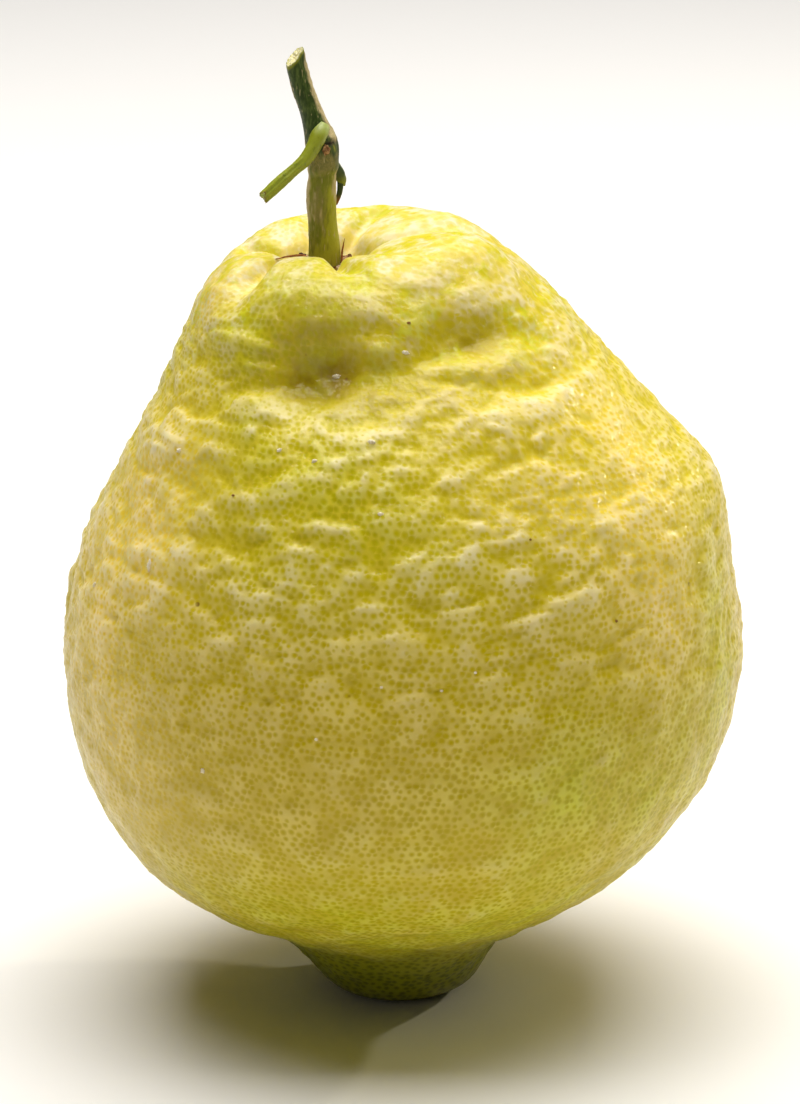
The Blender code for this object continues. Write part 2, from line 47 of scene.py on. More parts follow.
camera = {
    "target": (0.5, 0, 74.1),  # what the middle of the picture looks at
    "distance": 800,
    "elevation": 17,
    "lens": 162,
    "sensor": 36,
    "clipStart": 50,
}
studio = {
    "floorColour": (0.90, 0.89, 0.875, 1),
    "floorRoughness": 0.85,
    "floorWidth": 9000,
    "floorFront": -4000,
    "wallAt": 2600,  # where the floor starts to curve up behind
    "wallCurve": 500,
    "wallHeight": 4000,
    "skyStrength": 0.008,
    "skyColour": (1, 0.985, 0.97, 1),
    # name, place, aims at, width, length, power, colour
    "softboxes": (
        ("topBox", (30, 190, 1100), (30, 190, 0), 1130, 1130, 23.2, (1, 0.98, 0.95)),
        ("rightBox", (570, 400, 300), (20, 0, 70), 24, 24, 1.1, (1, 0.91, 0.66)),
        ("frontBox", (-260, -820, 430), (0, 0, 80), 500, 300, 0.3, (1, 0.92, 0.74)),
    ),
}


# A new object in the scene, holding a camera, a light or a mesh.
def placeObject(name, data):
    made = bpy.data.objects.new(name, data)
    bpy.context.scene.collection.objects.link(made)
    return made


# Puts a camera or a light at a place and turns it to look in a direction.
def aim(made, place, direction):
    made.location = place * mm
    made.rotation_euler = direction.to_track_quat("-Z", "Y").to_euler()


# The camera stands in front of the target at its elevation, with the sensor along the picture's long
# side.
def makeCamera():
    data = bpy.data.cameras.new("camera")
    data.lens = camera["lens"]
    data.sensor_fit = "VERTICAL"
    data.sensor_height = camera["sensor"]
    data.sensor_width = camera["sensor"]
    data.clip_start = camera["clipStart"] * mm
    made = placeObject("camera", data)
    tilt = math.radians(camera["elevation"])
    back = Vector((0, -math.cos(tilt), math.sin(tilt)))
    aim(made, Vector(camera["target"]) + back * camera["distance"], -back)
    bpy.context.scene.camera = made


# A floor that curves up into a wall: a straight line, a quarter circle and a straight line, drawn wide.
def makeBackdrop():
    turn = np.radians(np.linspace(0, 90, 25))
    curve, wallAt = studio["wallCurve"], studio["wallAt"]
    y = np.concatenate([[studio["floorFront"]], wallAt + curve * np.sin(turn), [wallAt + curve]])
    z = np.concatenate([[0], curve - curve * np.cos(turn), [studio["wallHeight"]]])
    profile = np.stack([0 * y, y, z], axis=1)
    aside = (studio["floorWidth"] / 2, 0, 0)
    i = np.arange(len(y) - 1)
    faces = np.stack([i, i + len(y), i + len(y) + 1, i + 1], axis=1)
    mesh = bpy.data.meshes.new("backdrop")
    mesh.from_pydata(np.concatenate([profile - aside, profile + aside]) * mm, [], faces.tolist())
    mesh.shade_smooth()
    material, shader = newMaterial("seamlessPaper")
    feedAll(shader, {"Base Color": studio["floorColour"], "Roughness": studio["floorRoughness"]})
    mesh.materials.append(material)
    placeObject("backdrop", mesh)


# Area lights from the list of softboxes, and an even pale sky.
def makeLight():
    for name, place, target, width, length, power, colour in studio["softboxes"]:
        data = bpy.data.lights.new(name, "AREA")
        data.shape = "RECTANGLE"
        data.size = width * mm
        data.size_y = length * mm
        data.energy = power
        data.color = colour
        aim(placeObject(name, data), Vector(place), Vector(target) - Vector(place))
    world = bpy.data.worlds.new("sky")
    world.use_nodes = True
    background = world.node_tree.nodes["Background"]
    feedAll(background, {"Color": studio["skyColour"], "Strength": studio["skyStrength"]})
    bpy.context.scene.world = world
    bpy.context.scene.view_settings.view_transform = "Standard"


# Shader helpers

tree, paints = None, None  # the node tree and the named colours of the material that is being made


# A material and its shader. Every node made after this goes into its tree and may name the finish's
# colours.
def newMaterial(name, finish=None):
    global tree, paints
    material = bpy.data.materials.new(name)
    material.use_nodes = True
    tree, paints = material.node_tree, finish
    return material, tree.nodes["Principled BSDF"]


# Gives each socket a number, another node's output, a colour or a colour's name. A colour of three
# values is a painter's, from 0 to 255, and is turned into the linear values that light uses.
def feedAll(node, feeds):
    for name, value in feeds.items():
        socket = node.inputs[name]
        value = paints[value] if isinstance(value, str) else value
        if isinstance(value, bpy.types.NodeSocket):
            tree.links.new(value, socket)
        elif socket.type == "RGBA" and len(value) == 3:
            linear = [((c / 255 + 0.055) / 1.055) ** 2.4 if c > 10 else c / 3294.6 for c in value]
            socket.default_value = (*linear, 1)
        else:
            socket.default_value = value


# A colour, and one pattern that gives both the roughness between two values and bumps so high.
def finishSurface(shader, colour, pattern, roughness, height):
    rough = rise(pattern, 0.3, 0.7, *roughness)
    feedAll(shader, {"Base Color": colour, "Roughness": rough, "Normal": bumps((pattern, height))})


# Light that goes into the skin and comes out beside: its share, and its reach in each colour.
def addGlow(shader, finish):
    weight, reach, shares = finish["glow"]
    feeds = {"Weight": weight, "Scale": reach * mm, "Radius": shares}
    feedAll(shader, {"Subsurface " + name: value for name, value in feeds.items()})


# A new node of one kind with its settings and feeds.
def addNode(kind, feeds=None, **settings):
    made = tree.nodes.new("ShaderNode" + kind)
    for name, value in settings.items():
        setattr(made, name, value)
    feedAll(made, feeds or {})
    return made


# The numbers that addValues put into the mesh under these names.
def attributes(names):
    return [addNode("Attribute", attribute_name=name).outputs["Fac"] for name in names.split()]


# One sum on one or two numbers.
def calc(way, first, second=0):
    return addNode("Math", {0: first, 1: second}, operation=way).outputs[0]


# All the factors multiplied together.
def times(first, *others):
    for other in others:
        first = calc("MULTIPLY", first, other)
    return first


# Goes smoothly from start to end while value goes from low to high.
def rise(value, low, high, start=0, end=1):
    feeds = {"Value": value, "From Min": low, "From Max": high, "To Min": start, "To Max": end}
    return addNode("MapRange", feeds, interpolation_type="SMOOTHSTEP").outputs["Result"]


# First where the share is 0 and second where it is 1.
def mixColours(share, first, second, way="MIX"):
    return addNode("Mix", {0: share, 6: first, 7: second}, data_type="RGBA", blend_type=way).outputs[2]


# Lays colours over the first one, each with its own share.
def layered(colour, *layers):
    for share, over in layers:
        colour = mixColours(share, colour, over)
    return colour


# Noise on Object coordinates. size is the width of one lump in millimetres, and stretch lengthens it
# along Z.
def lumps(size, detail=2, roughness=0.5, stretch=1):
    place = addNode("TexCoord").outputs["Object"]
    scaled = addNode("Mapping", {"Vector": place, "Scale": (1, 1, 1 / stretch)}).outputs[0]
    feeds = {"Vector": scaled, "Scale": 1 / (size * mm), "Detail": detail, "Roughness": roughness}
    return addNode("TexNoise", feeds).outputs["Fac"]


# Bumps one over the other: each is a pattern and how high it stands in millimetres.
def bumps(*layers):
    normal = None
    for height, distance in layers:
        feeds = {"Height": height, "Distance": distance * mm}
        if normal is not None:
            feeds["Normal"] = normal
        normal = addNode("Bump", feeds).outputs["Normal"]
    return normal


# Shape helpers

# Random draws, and a lookup that gives every corner of a grid of unit cells one of 256 rows.
def scattered(seed):
    draw = np.random.default_rng(seed)
    order = np.tile(draw.permutation(256), 2)

    def pick(corner):
        x, y, z = corner.T & 255
        return order[order[order[x] + y] + z]

    return draw, pick


# Smooth random values, about -0.7 to 0.7: a random slope at each corner of a cell, blended inside it.
def noiseField(points, seed):
    draw, pick = scattered(seed)
    slopes = draw.normal(size=(256, 3))
    slopes /= np.linalg.norm(slopes, axis=1)[:, None]
    cell = np.floor(points).astype(int)
    inside = points - cell
    fade = inside**3 * (inside * (inside * 6 - 15) + 10)
    total = np.zeros(len(points))
    for corner in np.ndindex(2, 2, 2):
        weight = np.where(corner, fade, 1 - fade).prod(axis=1)
        total += weight * ((inside - corner) * slopes[pick(cell + corner)]).sum(axis=1)
    return total


# Layers of noise added up, with seeds that count on. Each has a height, the size of its lumps and the
# share of the upright distance that counts, so that a small share draws the lumps out upright.
def grainField(points, seed, *layers):
    total = 0
    for number, (height, size, share) in enumerate(layers):
        total = total + height * noiseField(points * (1, 1, share) / size, seed + number)
    return total


# Cells round a random spot in each unit cube. Gives each point's height above its cell's spot, blended
# into the next cell's by the weights exp(-sharpness * distance squared), and how far inside its cell it
# is: the distance to the second nearest spot less that to the nearest.
def cellField(points, seed, sharpness):
    draw, pick = scattered(seed)
    spots = 0.1 + 0.8 * draw.random((256, 3))
    cell = np.floor(points).astype(int)
    nearest = np.full(len(points), 9.0)
    second = nearest.copy()
    weights = np.full(len(points), 1e-12)
    heights = np.zeros(len(points))
    for step in np.ndindex(3, 3, 3):
        corner = cell + step - 1
        away = points - corner - spots[pick(corner)]
        distance = np.linalg.norm(away, axis=1)
        weight = np.exp(-sharpness * distance**2)
        weights += weight
        heights += weight * away[:, 2]
        second = np.minimum(second, np.maximum(nearest, distance))
        nearest = np.minimum(nearest, distance)
    return heights / weights, second - nearest


# 0 below low, 1 above high, and t*t*(3 - 2t) between them.
def smoothStep(value, low, high):
    t = np.clip((value - low) / (high - low), 0, 1)
    return t * t * (3 - 2 * t)


# exp(-sharpness * sum of the squared offsets): 1 in the middle, and soon 0 past offsets of 1.
def bell(*offsets, sharpness=1):
    return np.exp(-sharpness * sum(offset**2 for offset in offsets))


# Values at given distances on the smooth cubic through the rows of values at the knots.
def curveThrough(knots, values, at):
    slopes = np.gradient(values, knots, axis=0)
    k = np.clip(np.searchsorted(knots, at, side="right") - 1, 0, len(knots) - 2)
    span = (knots[k + 1] - knots[k])[..., None]
    t = (at - knots[k])[..., None] / span
    return (
        (2 * t**3 - 3 * t**2 + 1) * values[k]
        + (t**3 - 2 * t**2 + t) * slopes[k] * span
        + (3 * t**2 - 2 * t**3) * values[k + 1]
        + (t**3 - t**2) * slopes[k + 1] * span
    )


# Vectors divided by their length.
def unit(vectors):
    return vectors / np.maximum(np.linalg.norm(vectors, axis=-1, keepdims=True), 1e-9)


# Even turns of a full circle.
def ringTurns(around):
    return 2 * math.pi * np.arange(around) / around


# Points of the unit circle at these turns.
def circle(turns):
    return np.stack([np.cos(turns), np.sin(turns), 0 * turns], axis=-1)


# Turns from a direction in degrees to the given angles, from -180 to 180.
def turnFrom(degrees, angle):
    return (np.degrees(angle) - degrees + 180) % 360 - 180


# A ridge that runs along a piece: height * exp(-(turn from its middle / half width)^2).
def ridgeRelief(angle, height, degrees, halfWidth):
    return height * bell(turnFrom(degrees, angle) / halfWidth)


# How far points lie from a middle, along and across a direction tilted by so many degrees.
def tilted(x, z, midX, midZ, tilt):
    c, s = math.cos(math.radians(tilt)), math.sin(math.radians(tilt))
    return (x - midX) * c + (z - midZ) * s, (z - midZ) * c - (x - midX) * s


# A finished piece of the object: it takes a node's place.
def addPiece(name, mesh, material, node):
    mesh.shade_smooth()
    mesh.materials.append(material)
    made = placeObject(name, mesh)
    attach(made, "root")
    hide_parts(node)
    return made


# Puts one number for each vertex into the mesh, for its material to read. A pole's number is its ring's
# mean.
def addValues(mesh, values):
    for name, grid in values.items():
        value = np.concatenate([[grid[0].mean()], grid.ravel(), [grid[-1].mean()]])
        mesh.attributes.new(name, "FLOAT", "POINT").data.foreach_set("value", value.astype(np.float32))


# Faces of a closed skin: squares between one ring of points and the next, and a fan to a pole at each
# end. They run anticlockwise as seen from outside. Vertex 0 is the first pole and the last vertex is
# the other.
def skinFaces(rings, around):
    i = np.arange(around)
    j = (i + 1) % around
    base = 1 + around * np.arange(rings - 1)[:, None]
    squares = np.stack([base + i, base + j, base + around + j, base + around + i], axis=2).reshape(-1, 4)
    last = 1 + around * (rings - 1)
    first = np.stack([0 * i, 1 + j, 1 + i], axis=1)
    end = np.stack([last + i, last + j, 0 * i + last + around], axis=1)
    return squares.tolist() + first.tolist() + end.tolist()


# A closed skin through a pole, rings of points and a second pole.
def skinMesh(name, first, rings, last):
    points = np.concatenate([[first], rings.reshape(-1, 3), [last]]) * mm
    mesh = bpy.data.meshes.new(name)
    mesh.from_pydata(points, [], skinFaces(*rings.shape[:2]))
    return mesh


# A small closed lump: a ball stretched to its half sizes, with noise pushed into its radius.
def lumpMesh(name, middle, size, seed, around=28, rings=18, roughness=0.8):
    upright = math.pi * (np.arange(1, rings + 1) / (rings + 1) - 0.5)
    level, turn = np.meshgrid(upright, ringTurns(around), indexing="ij")
    ball = np.cos(level)[..., None] * circle(turn)
    ball[..., 2] = np.sin(level)
    flat = ball.reshape(-1, 3)
    rough = 1 + roughness * noiseField(flat * 2.3 + seed, seed)
    rough += 0.4 * roughness * noiseField(flat * 6 + seed, seed + 1)
    pole = np.array((0, 0, size[2]))
    skin = middle + ball * rough.reshape(*level.shape, 1) * size
    return skinMesh(name, middle - pole, skin, middle + pole)


# Dry tissue: two colours mixed in fine lumps and hardly any shine.
def dryMaterial(name, light, dark):
    material, shader = newMaterial(name)
    fine = lumps(0.45, 4, 0.65)
    finishSurface(shader, mixColours(rise(fine, 0.35, 0.65), light, dark), fine, (0.75, 0.95), 0.08)
    return material


# Rind

rind = {
    "around": 432,  # faces round it
    "rings": 226,
    "finerAbove": 0.8,  # how much closer the rings lie on the folded upper half
    "finerFrom": (60, 95),  # distances along the rind where this begins and is full
    "gores": 6,  # upright strips that the glands are laid out on
    "glandPitch": 1.32,  # from one gland to the next
    # Rows of the loft, from the flat spot over the shoulder into the stem cavity: the level's middle x
    # and y, then radius and height of its left, right, front and back outline.
    "levels": (
        (0, 0, 8.5, 0, 8.5, 0, 8.5, 0, 8.5, 0),
        (0, 0, 11.6, 1.9, 12.6, 2.1, 12.4, 1.6, 12, 1.7),
        (0, 0, 15, 6, 15.4, 6.6, 17, 6.2, 15, 6.2),
        (0, 0, 20, 11.4, 18.6, 11.8, 22.6, 12.2, 20, 11.4),
        (0, 0, 34.4, 17.9, 28.8, 17.2, 32.6, 19.2, 31.5, 17.5),
        (0.4, 0, 45.9, 28.8, 41.6, 27.5, 43.8, 28.2, 44, 28),
        (0.9, 0, 52.6, 42.5, 51, 41.5, 51.5, 42, 51.5, 42.5),
        (0.9, 0, 54.6, 57.5, 54.6, 56.5, 53.5, 57, 53.5, 57.5),
        (0.6, 0, 52.2, 72.5, 53.4, 72, 51.5, 72, 51, 73),
        (-0.3, -0.5, 45.6, 86.5, 51.6, 86, 46.5, 86.5, 45.5, 88),
        (-2.5, -1, 36.4, 99.5, 45.4, 97.2, 38.3, 99.5, 38.5, 101.5),
        (-6, -1.5, 28.6, 110, 38.2, 108.8, 28, 109.5, 31.5, 112.5),
        (-9, -2, 22.4, 117.2, 30.6, 119.6, 19.8, 119, 22.6, 121),
        (-11, -2, 13.8, 122.7, 20.5, 127.8, 11.6, 123.6, 13.6, 126.8),
        (-11.4, -2, 8, 122.9, 9.8, 124.4, 7.4, 122.9, 8.4, 124),
        (-11.4, -2, 5.6, 121.5, 6.2, 121.6, 5.4, 121.5, 5.8, 121.6),
        (-11.4, -2, 3.4, 121.3, 3.4, 121.3, 3.4, 121.3, 3.4, 121.3),
    ),
    "crest": 13,  # the level at the top of the shoulder
    "cavity": 15,  # the level where the cavity's floor begins
    "socketRadius": 2.9,
    "socketDepths": (0, 0.5, 6),
    # Furrows into the cavity: turn round the stem, depth, half width in degrees, reach past the crest.
    "furrows": (
        (-140, 2.8, 8, 14), (-77, 2.2, 9, 6), (-38, 0.7, 8, 5), (4, 1.7, 8, 10), (58, 1.7, 9, 2),
        (103, 1.1, 8, 2), (160, 1.6, 8, 2),
    ),
    "lobes": (0.6, -14, -3),  # their height, and how far past the crest they begin and are full
    # Bulges and hollows (negative) of the front: middle x and z, half length, half thickness, tilt,
    # height.
    "frontForms": (
        (-13, 120, 8, 4.8, 0, 2.2), (0, 121.5, 7, 3.8, 8, 1.4), (-27, 118.5, 5, 6, 10, 0.8),
        (-12, 111.4, 8.2, 4.8, 14, -3.4), (0, 112, 6, 2.2, 12, -0.6), (11.5, 115, 7.5, 3, 8, -2),
        (-3, 118.3, 5.5, 1.8, -8, 0.8), (-2.5, 114.4, 3.4, 1.5, -4, 1.2),
        (3, 116, 2.6, 4, -25, 1.1), (13.5, 119.8, 5, 2.2, 0, 0.6), (-24, 114, 4.5, 2.2, -3, 0.8),
        (-23.5, 110.6, 4, 1.5, 15, 0.4), (-21, 108.6, 5, 1.5, 5, -0.4),
        (-21.5, 105.6, 5, 1.8, 3, 0.6), (-9, 106.6, 4.5, 1.8, 0, 0.6), (-8, 103.5, 4, 1.5, -2, 0.4),
        (3, 109.8, 6, 1.6, 20, 0.4), (13, 111.4, 6.5, 2, -8, 0.6), (4.5, 107, 4, 1.6, 12, 0.4),
        (13, 106, 5.5, 1.8, -12, 0.5), (24.5, 106, 7, 1.9, 8, 0.4), (-26, 108, 5, 5, 0, -0.6),
        (-37.5, 97.5, 6, 4, 0, 1), (-23, 87.5, 7, 3, 5, -0.7), (17, 103.5, 12, 3, -3, 0.6),
    ),
    # Ledges of the front, each with a sharp upper edge: middle x and z, half length, tilt, bend, height.
    "ledges": (
        (-21.5, 113.5, 4.5, 0, 1.2, 0.5), (-21, 110.5, 4, 15, 0, 0.5), (-21, 106.5, 4.5, 5, 1, 0.7),
        (-8.5, 107, 3.5, -5, 0.5, 0.6), (-13.5, 104.5, 2.5, 0, 1, 0.5),
        (-8, 104.5, 3.5, 5, -1, 0.7), (0.5, 106, 5.5, 10, -0.5, 0.5), (14, 113, 7, -5, 1.5, 0.7),
        (-2.5, 119.8, 4.5, -10, 0.5, 0.5), (4.5, 107.8, 3.5, 10, 1.5, 0.6),
        (15, 107, 8, -5, -2, 0.8), (24, 109.5, 3, -30, 1, 0.5), (26.5, 107, 3.5, 10, 1, 0.6),
        (-3, 102, 3, 0, 1, 0.7), (3.5, 100, 3.5, -5, 0.5, 0.8), (-9.5, 101, 2.5, 5, -1, 0.7),
        (-14, 98, 3.5, 5, 1, 0.8), (-3.5, 97.5, 3.5, -5, 0.5, 0.6), (11.5, 99.5, 4, 15, 0, 0.6),
        (24, 97, 4, -5, 0.5, 0.7), (-28, 101, 4.5, 20, -0.5, 0.8), (-34, 98.5, 2.5, 20, 0.5, 0.7),
        (-28, 93.5, 3, 10, 0.5, 0.6), (-33, 91, 4, 20, -0.5, 0.7), (-39, 92, 4.5, 25, 0, 0.6),
        (-19.5, 90, 3.5, 0, 0.5, 0.6), (-9, 92.5, 3.5, 10, -1, 0.7), (-12, 88, 3.5, 0, 1, 0.6),
        (-21, 82.5, 5.5, 15, 0.5, 0.5), (15.5, 91.5, 4.5, -5, 1, 0.5), (1.5, 87, 3.5, 0, 1, 0.5),
        (24, 86, 4, -5, 1, 0.5), (-40.5, 77.5, 4.5, 20, 1.5, 0.6),
    ),
    # Rounding of a ledge's edge and reach of the drop below it: least, then more by its half length.
    "ledgeReach": ((0.5, 0.12), (1.6, 0.3)),
    "ledgeShare": 0.32,
    # Bulges and hollows of the sides and back: turn, middle z, half width, half height, height.
    "sideForms": (
        (62, 126, 7, 5, 0.9), (25, 118, 6, 5, 0.9), (8, 111, 7, 4, 0.5), (-4, 91, 8, 5, 1.2),
        (170, 108, 8, 6, -0.8), (120, 96, 14, 8, 1.4), (75, 100, 13, 7, -1.5), (95, 78, 16, 7, 1),
        (145, 112, 10, 6, -1.4),
    ),
    # Sizes and heights of the folds, from the broad swells to the wrinkles that only show close up.
    "swell": (17, 1.6),
    "mound": (7.6, 0.85, 0.5),  # size, step at its upper edge, depth of the creases round it
    "knob": (4, 0.6, 0.45),
    "moundWarp": 4.5,  # how far the cells are bent out of shape
    "knobWarp": 3,
    "warpSize": 9,
    "blend": 7,  # how sharply one mound gives way to the next
    "net": (4.2, 0.36, 0.42),  # size of the cells, height and width of the ridges round them
    "netSquash": 1.15,
    "dimple": (6.5, 0.95),
    "ripple": (2.6, 0.3),
    "wrinkle": (1.7, 0.14),
    "squash": 1.4,  # how much wider than tall the folds are
    "slant": 0.2,  # how much they rise towards the right
    "slantWidth": 6,
    "lean": 0.16,
    "uneven": (0.85, 0.7, 15),  # middle and spread of the folds' strength, and size of its patches
    "smoothBelow": 48,
    "roughAbove": 82,
    "leastFold": 0.2,  # share of the folds' depth that is left low down, and high up
    "mostFold": 0.62,
    # What the depth is multiplied by at some places, and where each begins and is full: towards the
    # front and up the neck, towards the right and up, and past the crest.
    "neckFold": (1.15, (4, 18), (98, 108)),
    "rightFold": (0.6, (26, 44), (60, 80)),
    "shoulderFold": (0.5, (-22, -4)),
    "netShare": 0.6,  # share of the net low down, then what is added to it between two heights
    "netSteps": ((0.4, 40, 75), (-0.3, 80, 92), (-0.25, 100, 112)),
}
# Where each of the rind's masks starts and is full, by what is measured for it: how proud a fold
# stands, the depth of the large hollows, the height, or the distance past the crest of the shoulder.
# The depth of the large hollows sets where painted shade darkens them, and the height sets where
# painted top light makes the upper half lighter.
rindMasks = {
    "crest": (0.03, 0.36),
    "hollow": (-0.04, 0.28),
    "crease": (0.2, 0.42),
    "deep": (0.3, 3.4),
    "high": (50, 100),
    "top": (104, 117),
    "nipple": (22, 8),
    "shoulder": (-15, -1),
}
# Where the rind is tinted: turn round it, middle z, half width and half height in millimetres, amount.
rindTints = {
    "peach": (
        (-150, 90, 12, 14, 0.9), (-158, 72, 12, 16, 0.8), (-145, 50, 12, 12, 0.6),
        (-174, 123, 8, 5, 0.9), (-160, 120.5, 8, 5, 0.8), (-40, 80, 9, 14, 0.8),
        (-28, 98, 8, 10, 0.5), (-60, 96, 10, 8, 0.35), (120, 84, 20, 18, 0.7),
    ),
    # Olive patches: partly the rind's own olive, partly painted shade in the neck's hollows.
    "olive": (
        (-85, 114, 22, 6.5, 0.8), (-104, 114.5, 9, 5, 1), (-104, 110.5, 7, 3, 0.6),
        (-50, 115.5, 9, 3, 0.8), (-77, 110.5, 13, 3.5, 0.8), (-126, 108, 8, 2.5, 0.6),
        (-122, 94, 12, 4, 0.5), (-100, 88, 9, 3, 0.5), (-135, 100, 8, 4, 0.4),
        (-68, 104, 8, 2.5, 0.4), (-60, 92, 14, 4, 0.4),
    ),
    "leaf": (
        (-102, 121.5, 8, 3.5, 0.7), (-128, 107, 12, 12, 0.8), (-110, 97, 14, 12, 0.6),
        (-138, 116, 9, 6, 0.6), (-92, 90, 16, 9, 0.35), (-107, 121, 7, 5, 0.4),
        (-86, 22, 46, 13, 0.9), (-56, 50, 18, 12, 0.8), (-22, 66, 8, 16, 0.8),
        (-34, 50, 12, 12, 0.5), (-178, 110, 10, 12, 0.7), (60, 70, 24, 22, 0.7),
        (170, 50, 18, 16, 0.5),
    ),
    "gold": (
        (-21, 120, 16, 8, 0.45), (-48, 118, 9, 6, 0.4), (-90, 60, 24, 12, 0.4),
        (20, 110, 18, 12, 0.7), (90, 112, 16, 10, 0.6),
    ),
}


# Distance of each level along the rind: the sum of the steps between the levels' mean radius and height.
def levelDistances():
    table = np.array(rind["levels"])
    steps = np.hypot(np.diff(table[:, 2::2].mean(axis=1)), np.diff(table[:, 3::2].mean(axis=1)))
    return np.concatenate([[0], np.cumsum(steps)])


# The plain loft: a level's four radii and heights are shared out by the squared cosine and sine of the
# angle.
def loftPoints(along, angle):
    row = curveThrough(levelDistances(), np.array(rind["levels"]), along)
    c, s = np.cos(angle), np.sin(angle)
    shares = np.stack([c * c * (c < 0), c * c * (c >= 0), s * s * (s < 0), s * s * (s >= 0)], axis=1)
    radius = (row[:, 2::2] * shares).sum(axis=1)
    height = (row[:, 3::2] * shares).sum(axis=1)
    return np.stack([row[:, 0] + radius * c, row[:, 1] + radius * s, height], axis=1)


# Lobes round the cavity: a low rise, less a bell-shaped groove for each furrow.
def shoulderRelief(along, angle):
    past = along - levelDistances()[rind["crest"]]
    height, *span = rind["lobes"]
    relief = height * smoothStep(past, *span)
    for degrees, depth, halfWidth, reach in rind["furrows"]:
        relief -= ridgeRelief(angle, depth, degrees, halfWidth) * smoothStep(past, -reach, 2 - 0.3 * reach)
    return relief


# Single bulges and hollows: height * exp(-a*a - b*b), where a and b are shares of the form's half sizes.
def formRelief(points, angle):
    x, y, z = points.T
    front = smoothStep(-y, 0, 8)
    relief = np.zeros(len(points))
    for *place, halfLength, halfThickness, tilt, height in rind["frontForms"]:
        lengthwise, across = tilted(x, z, *place, tilt)
        relief += front * height * bell(lengthwise / halfLength, across / halfThickness)
    for degrees, midZ, halfWidth, halfHeight, height in rind["sideForms"]:
        aside = np.radians(turnFrom(degrees, angle)) * np.hypot(x, y) / halfWidth
        relief += height * bell(aside, (z - midZ) / halfHeight)
    return relief


# Ledges: -height * tanh(above / rounding) * exp(-(above / reach)^2), where above is the distance up
# from the ledge's bent edge, faded out past both of its ends.
def ledgeRelief(points):
    x, y, z = points.T
    relief = np.zeros(len(points))
    for *place, halfLength, tilt, bend, height in rind["ledges"]:
        lengthwise, above = tilted(x, z, *place, tilt)
        lengthwise = lengthwise / halfLength
        above = above - bend * (1 - np.minimum(lengthwise**2, 2))
        rounding, reach = (least + more * halfLength for least, more in rind["ledgeReach"])
        step = np.tanh(above / rounding) * bell(above / reach)
        relief -= height * step * bell((lengthwise / 1.15) ** 2)
    return relief * smoothStep(-y, 4, 16)


# Mounds: each rises to its upper edge, drops to the next mound there, and is parted from all others by
# creases.
def moundRelief(points, size, step, depth, seed):
    heights, inside = cellField(points / size, seed, rind["blend"])
    crease = 1 - np.minimum(np.maximum(inside, 0) / 0.5, 1)
    pillow = np.sqrt(1 - 0.94 * crease**2)
    return step * heights + depth * (pillow - 0.85)


# Even noise of a named size and height.
def waves(name, points, seed, shift=0):
    size, height = rind[name]
    return height * noiseField(points / size + shift, seed)


# Folds: broad swells, mounds and knobs as cells wider than tall, a net of crests, finer ripples and
# wrinkles. They grow from the nipple to the neck, and end at the flat spot and in the cavity.
def foldRelief(points, along):
    x, y, z = points.T
    slanted = points.copy()
    slanted[:, 2] -= rind["slant"] * np.logaddexp(0, x / rind["slantWidth"]) * rind["slantWidth"]
    squashed = slanted * (1, 1, rind["squash"])
    swells = waves("swell", squashed, 11, 5.3)
    broad = squashed / rind["warpSize"]
    warp = np.stack([noiseField(broad + shift, seed=12) for shift in (40.7, 61.3, 83.1)], axis=1)
    mounds = moundRelief(squashed + rind["moundWarp"] * warp, *rind["mound"], seed=13)
    knobs = moundRelief(squashed + rind["knobWarp"] * warp, *rind["knob"], seed=14)
    size, height, width = rind["net"]
    netted = (slanted * (1, 1, rind["netSquash"]) + rind["knobWarp"] * warp) / size
    _, inside = cellField(netted, 15, rind["blend"])
    crests = height * (bell(inside / width) - 0.3) + waves("dimple", slanted, 19)
    crests *= rind["netShare"] + sum(share * smoothStep(z, *span) for share, *span in rind["netSteps"])

    middle, spread, patch = rind["uneven"]
    toCrest = along - levelDistances()[rind["crest"]]
    more = rind["mostFold"] - rind["leastFold"]
    strength = rind["leastFold"] + more * smoothStep(z, rind["smoothBelow"], rind["roughAbove"])
    strength *= middle + spread * noiseField(squashed / patch + 7.7, seed=18)
    for name, *measures in (("neckFold", -y, z), ("rightFold", x, z), ("shoulderFold", toCrest)):
        share, *spans = rind[name]
        there = math.prod(smoothStep(measure, *span) for measure, span in zip(measures, spans))
        strength *= 1 - (1 - share) * there
    intoCavity = levelDistances()[rind["cavity"]] - levelDistances()[rind["crest"]]
    ends = smoothStep(along, 1, 12) * (1 - smoothStep(toCrest, -2, intoCavity - 1))
    main = (swells + mounds + knobs) * strength + crests + rind["ledgeShare"] * ledgeRelief(points)
    fine = waves("ripple", squashed, 16, warp) * (0.5 + 0.5 * strength) + waves("wrinkle", points, 17)
    return main * ends, fine * ends


# The finished rind: the loft moved along its normal by all relief, with the folds leaned up along the
# rind too.
def rindPoints(along, angle):
    points = loftPoints(along, angle)
    step, turn = 0.4, 0.01
    up = unit(loftPoints(along + step, angle) - loftPoints(along - step, angle))
    normal = unit(np.cross(loftPoints(along, angle + turn) - loftPoints(along, angle - turn), up))
    folds, fine = foldRelief(points, along)
    crest, floor = levelDistances()[[rind["crest"], rind["cavity"]]]
    ends = smoothStep(along, 0.5, 6) * (1 - smoothStep(along, 0.35 * crest + 0.65 * floor, floor))
    forms = formRelief(points, angle)
    relief = (shoulderRelief(along, angle) + forms + folds + fine) * ends
    moved = points + normal * relief[:, None] + up * rind["lean"] * folds[:, None]
    return points, moved, folds + fine + forms, forms


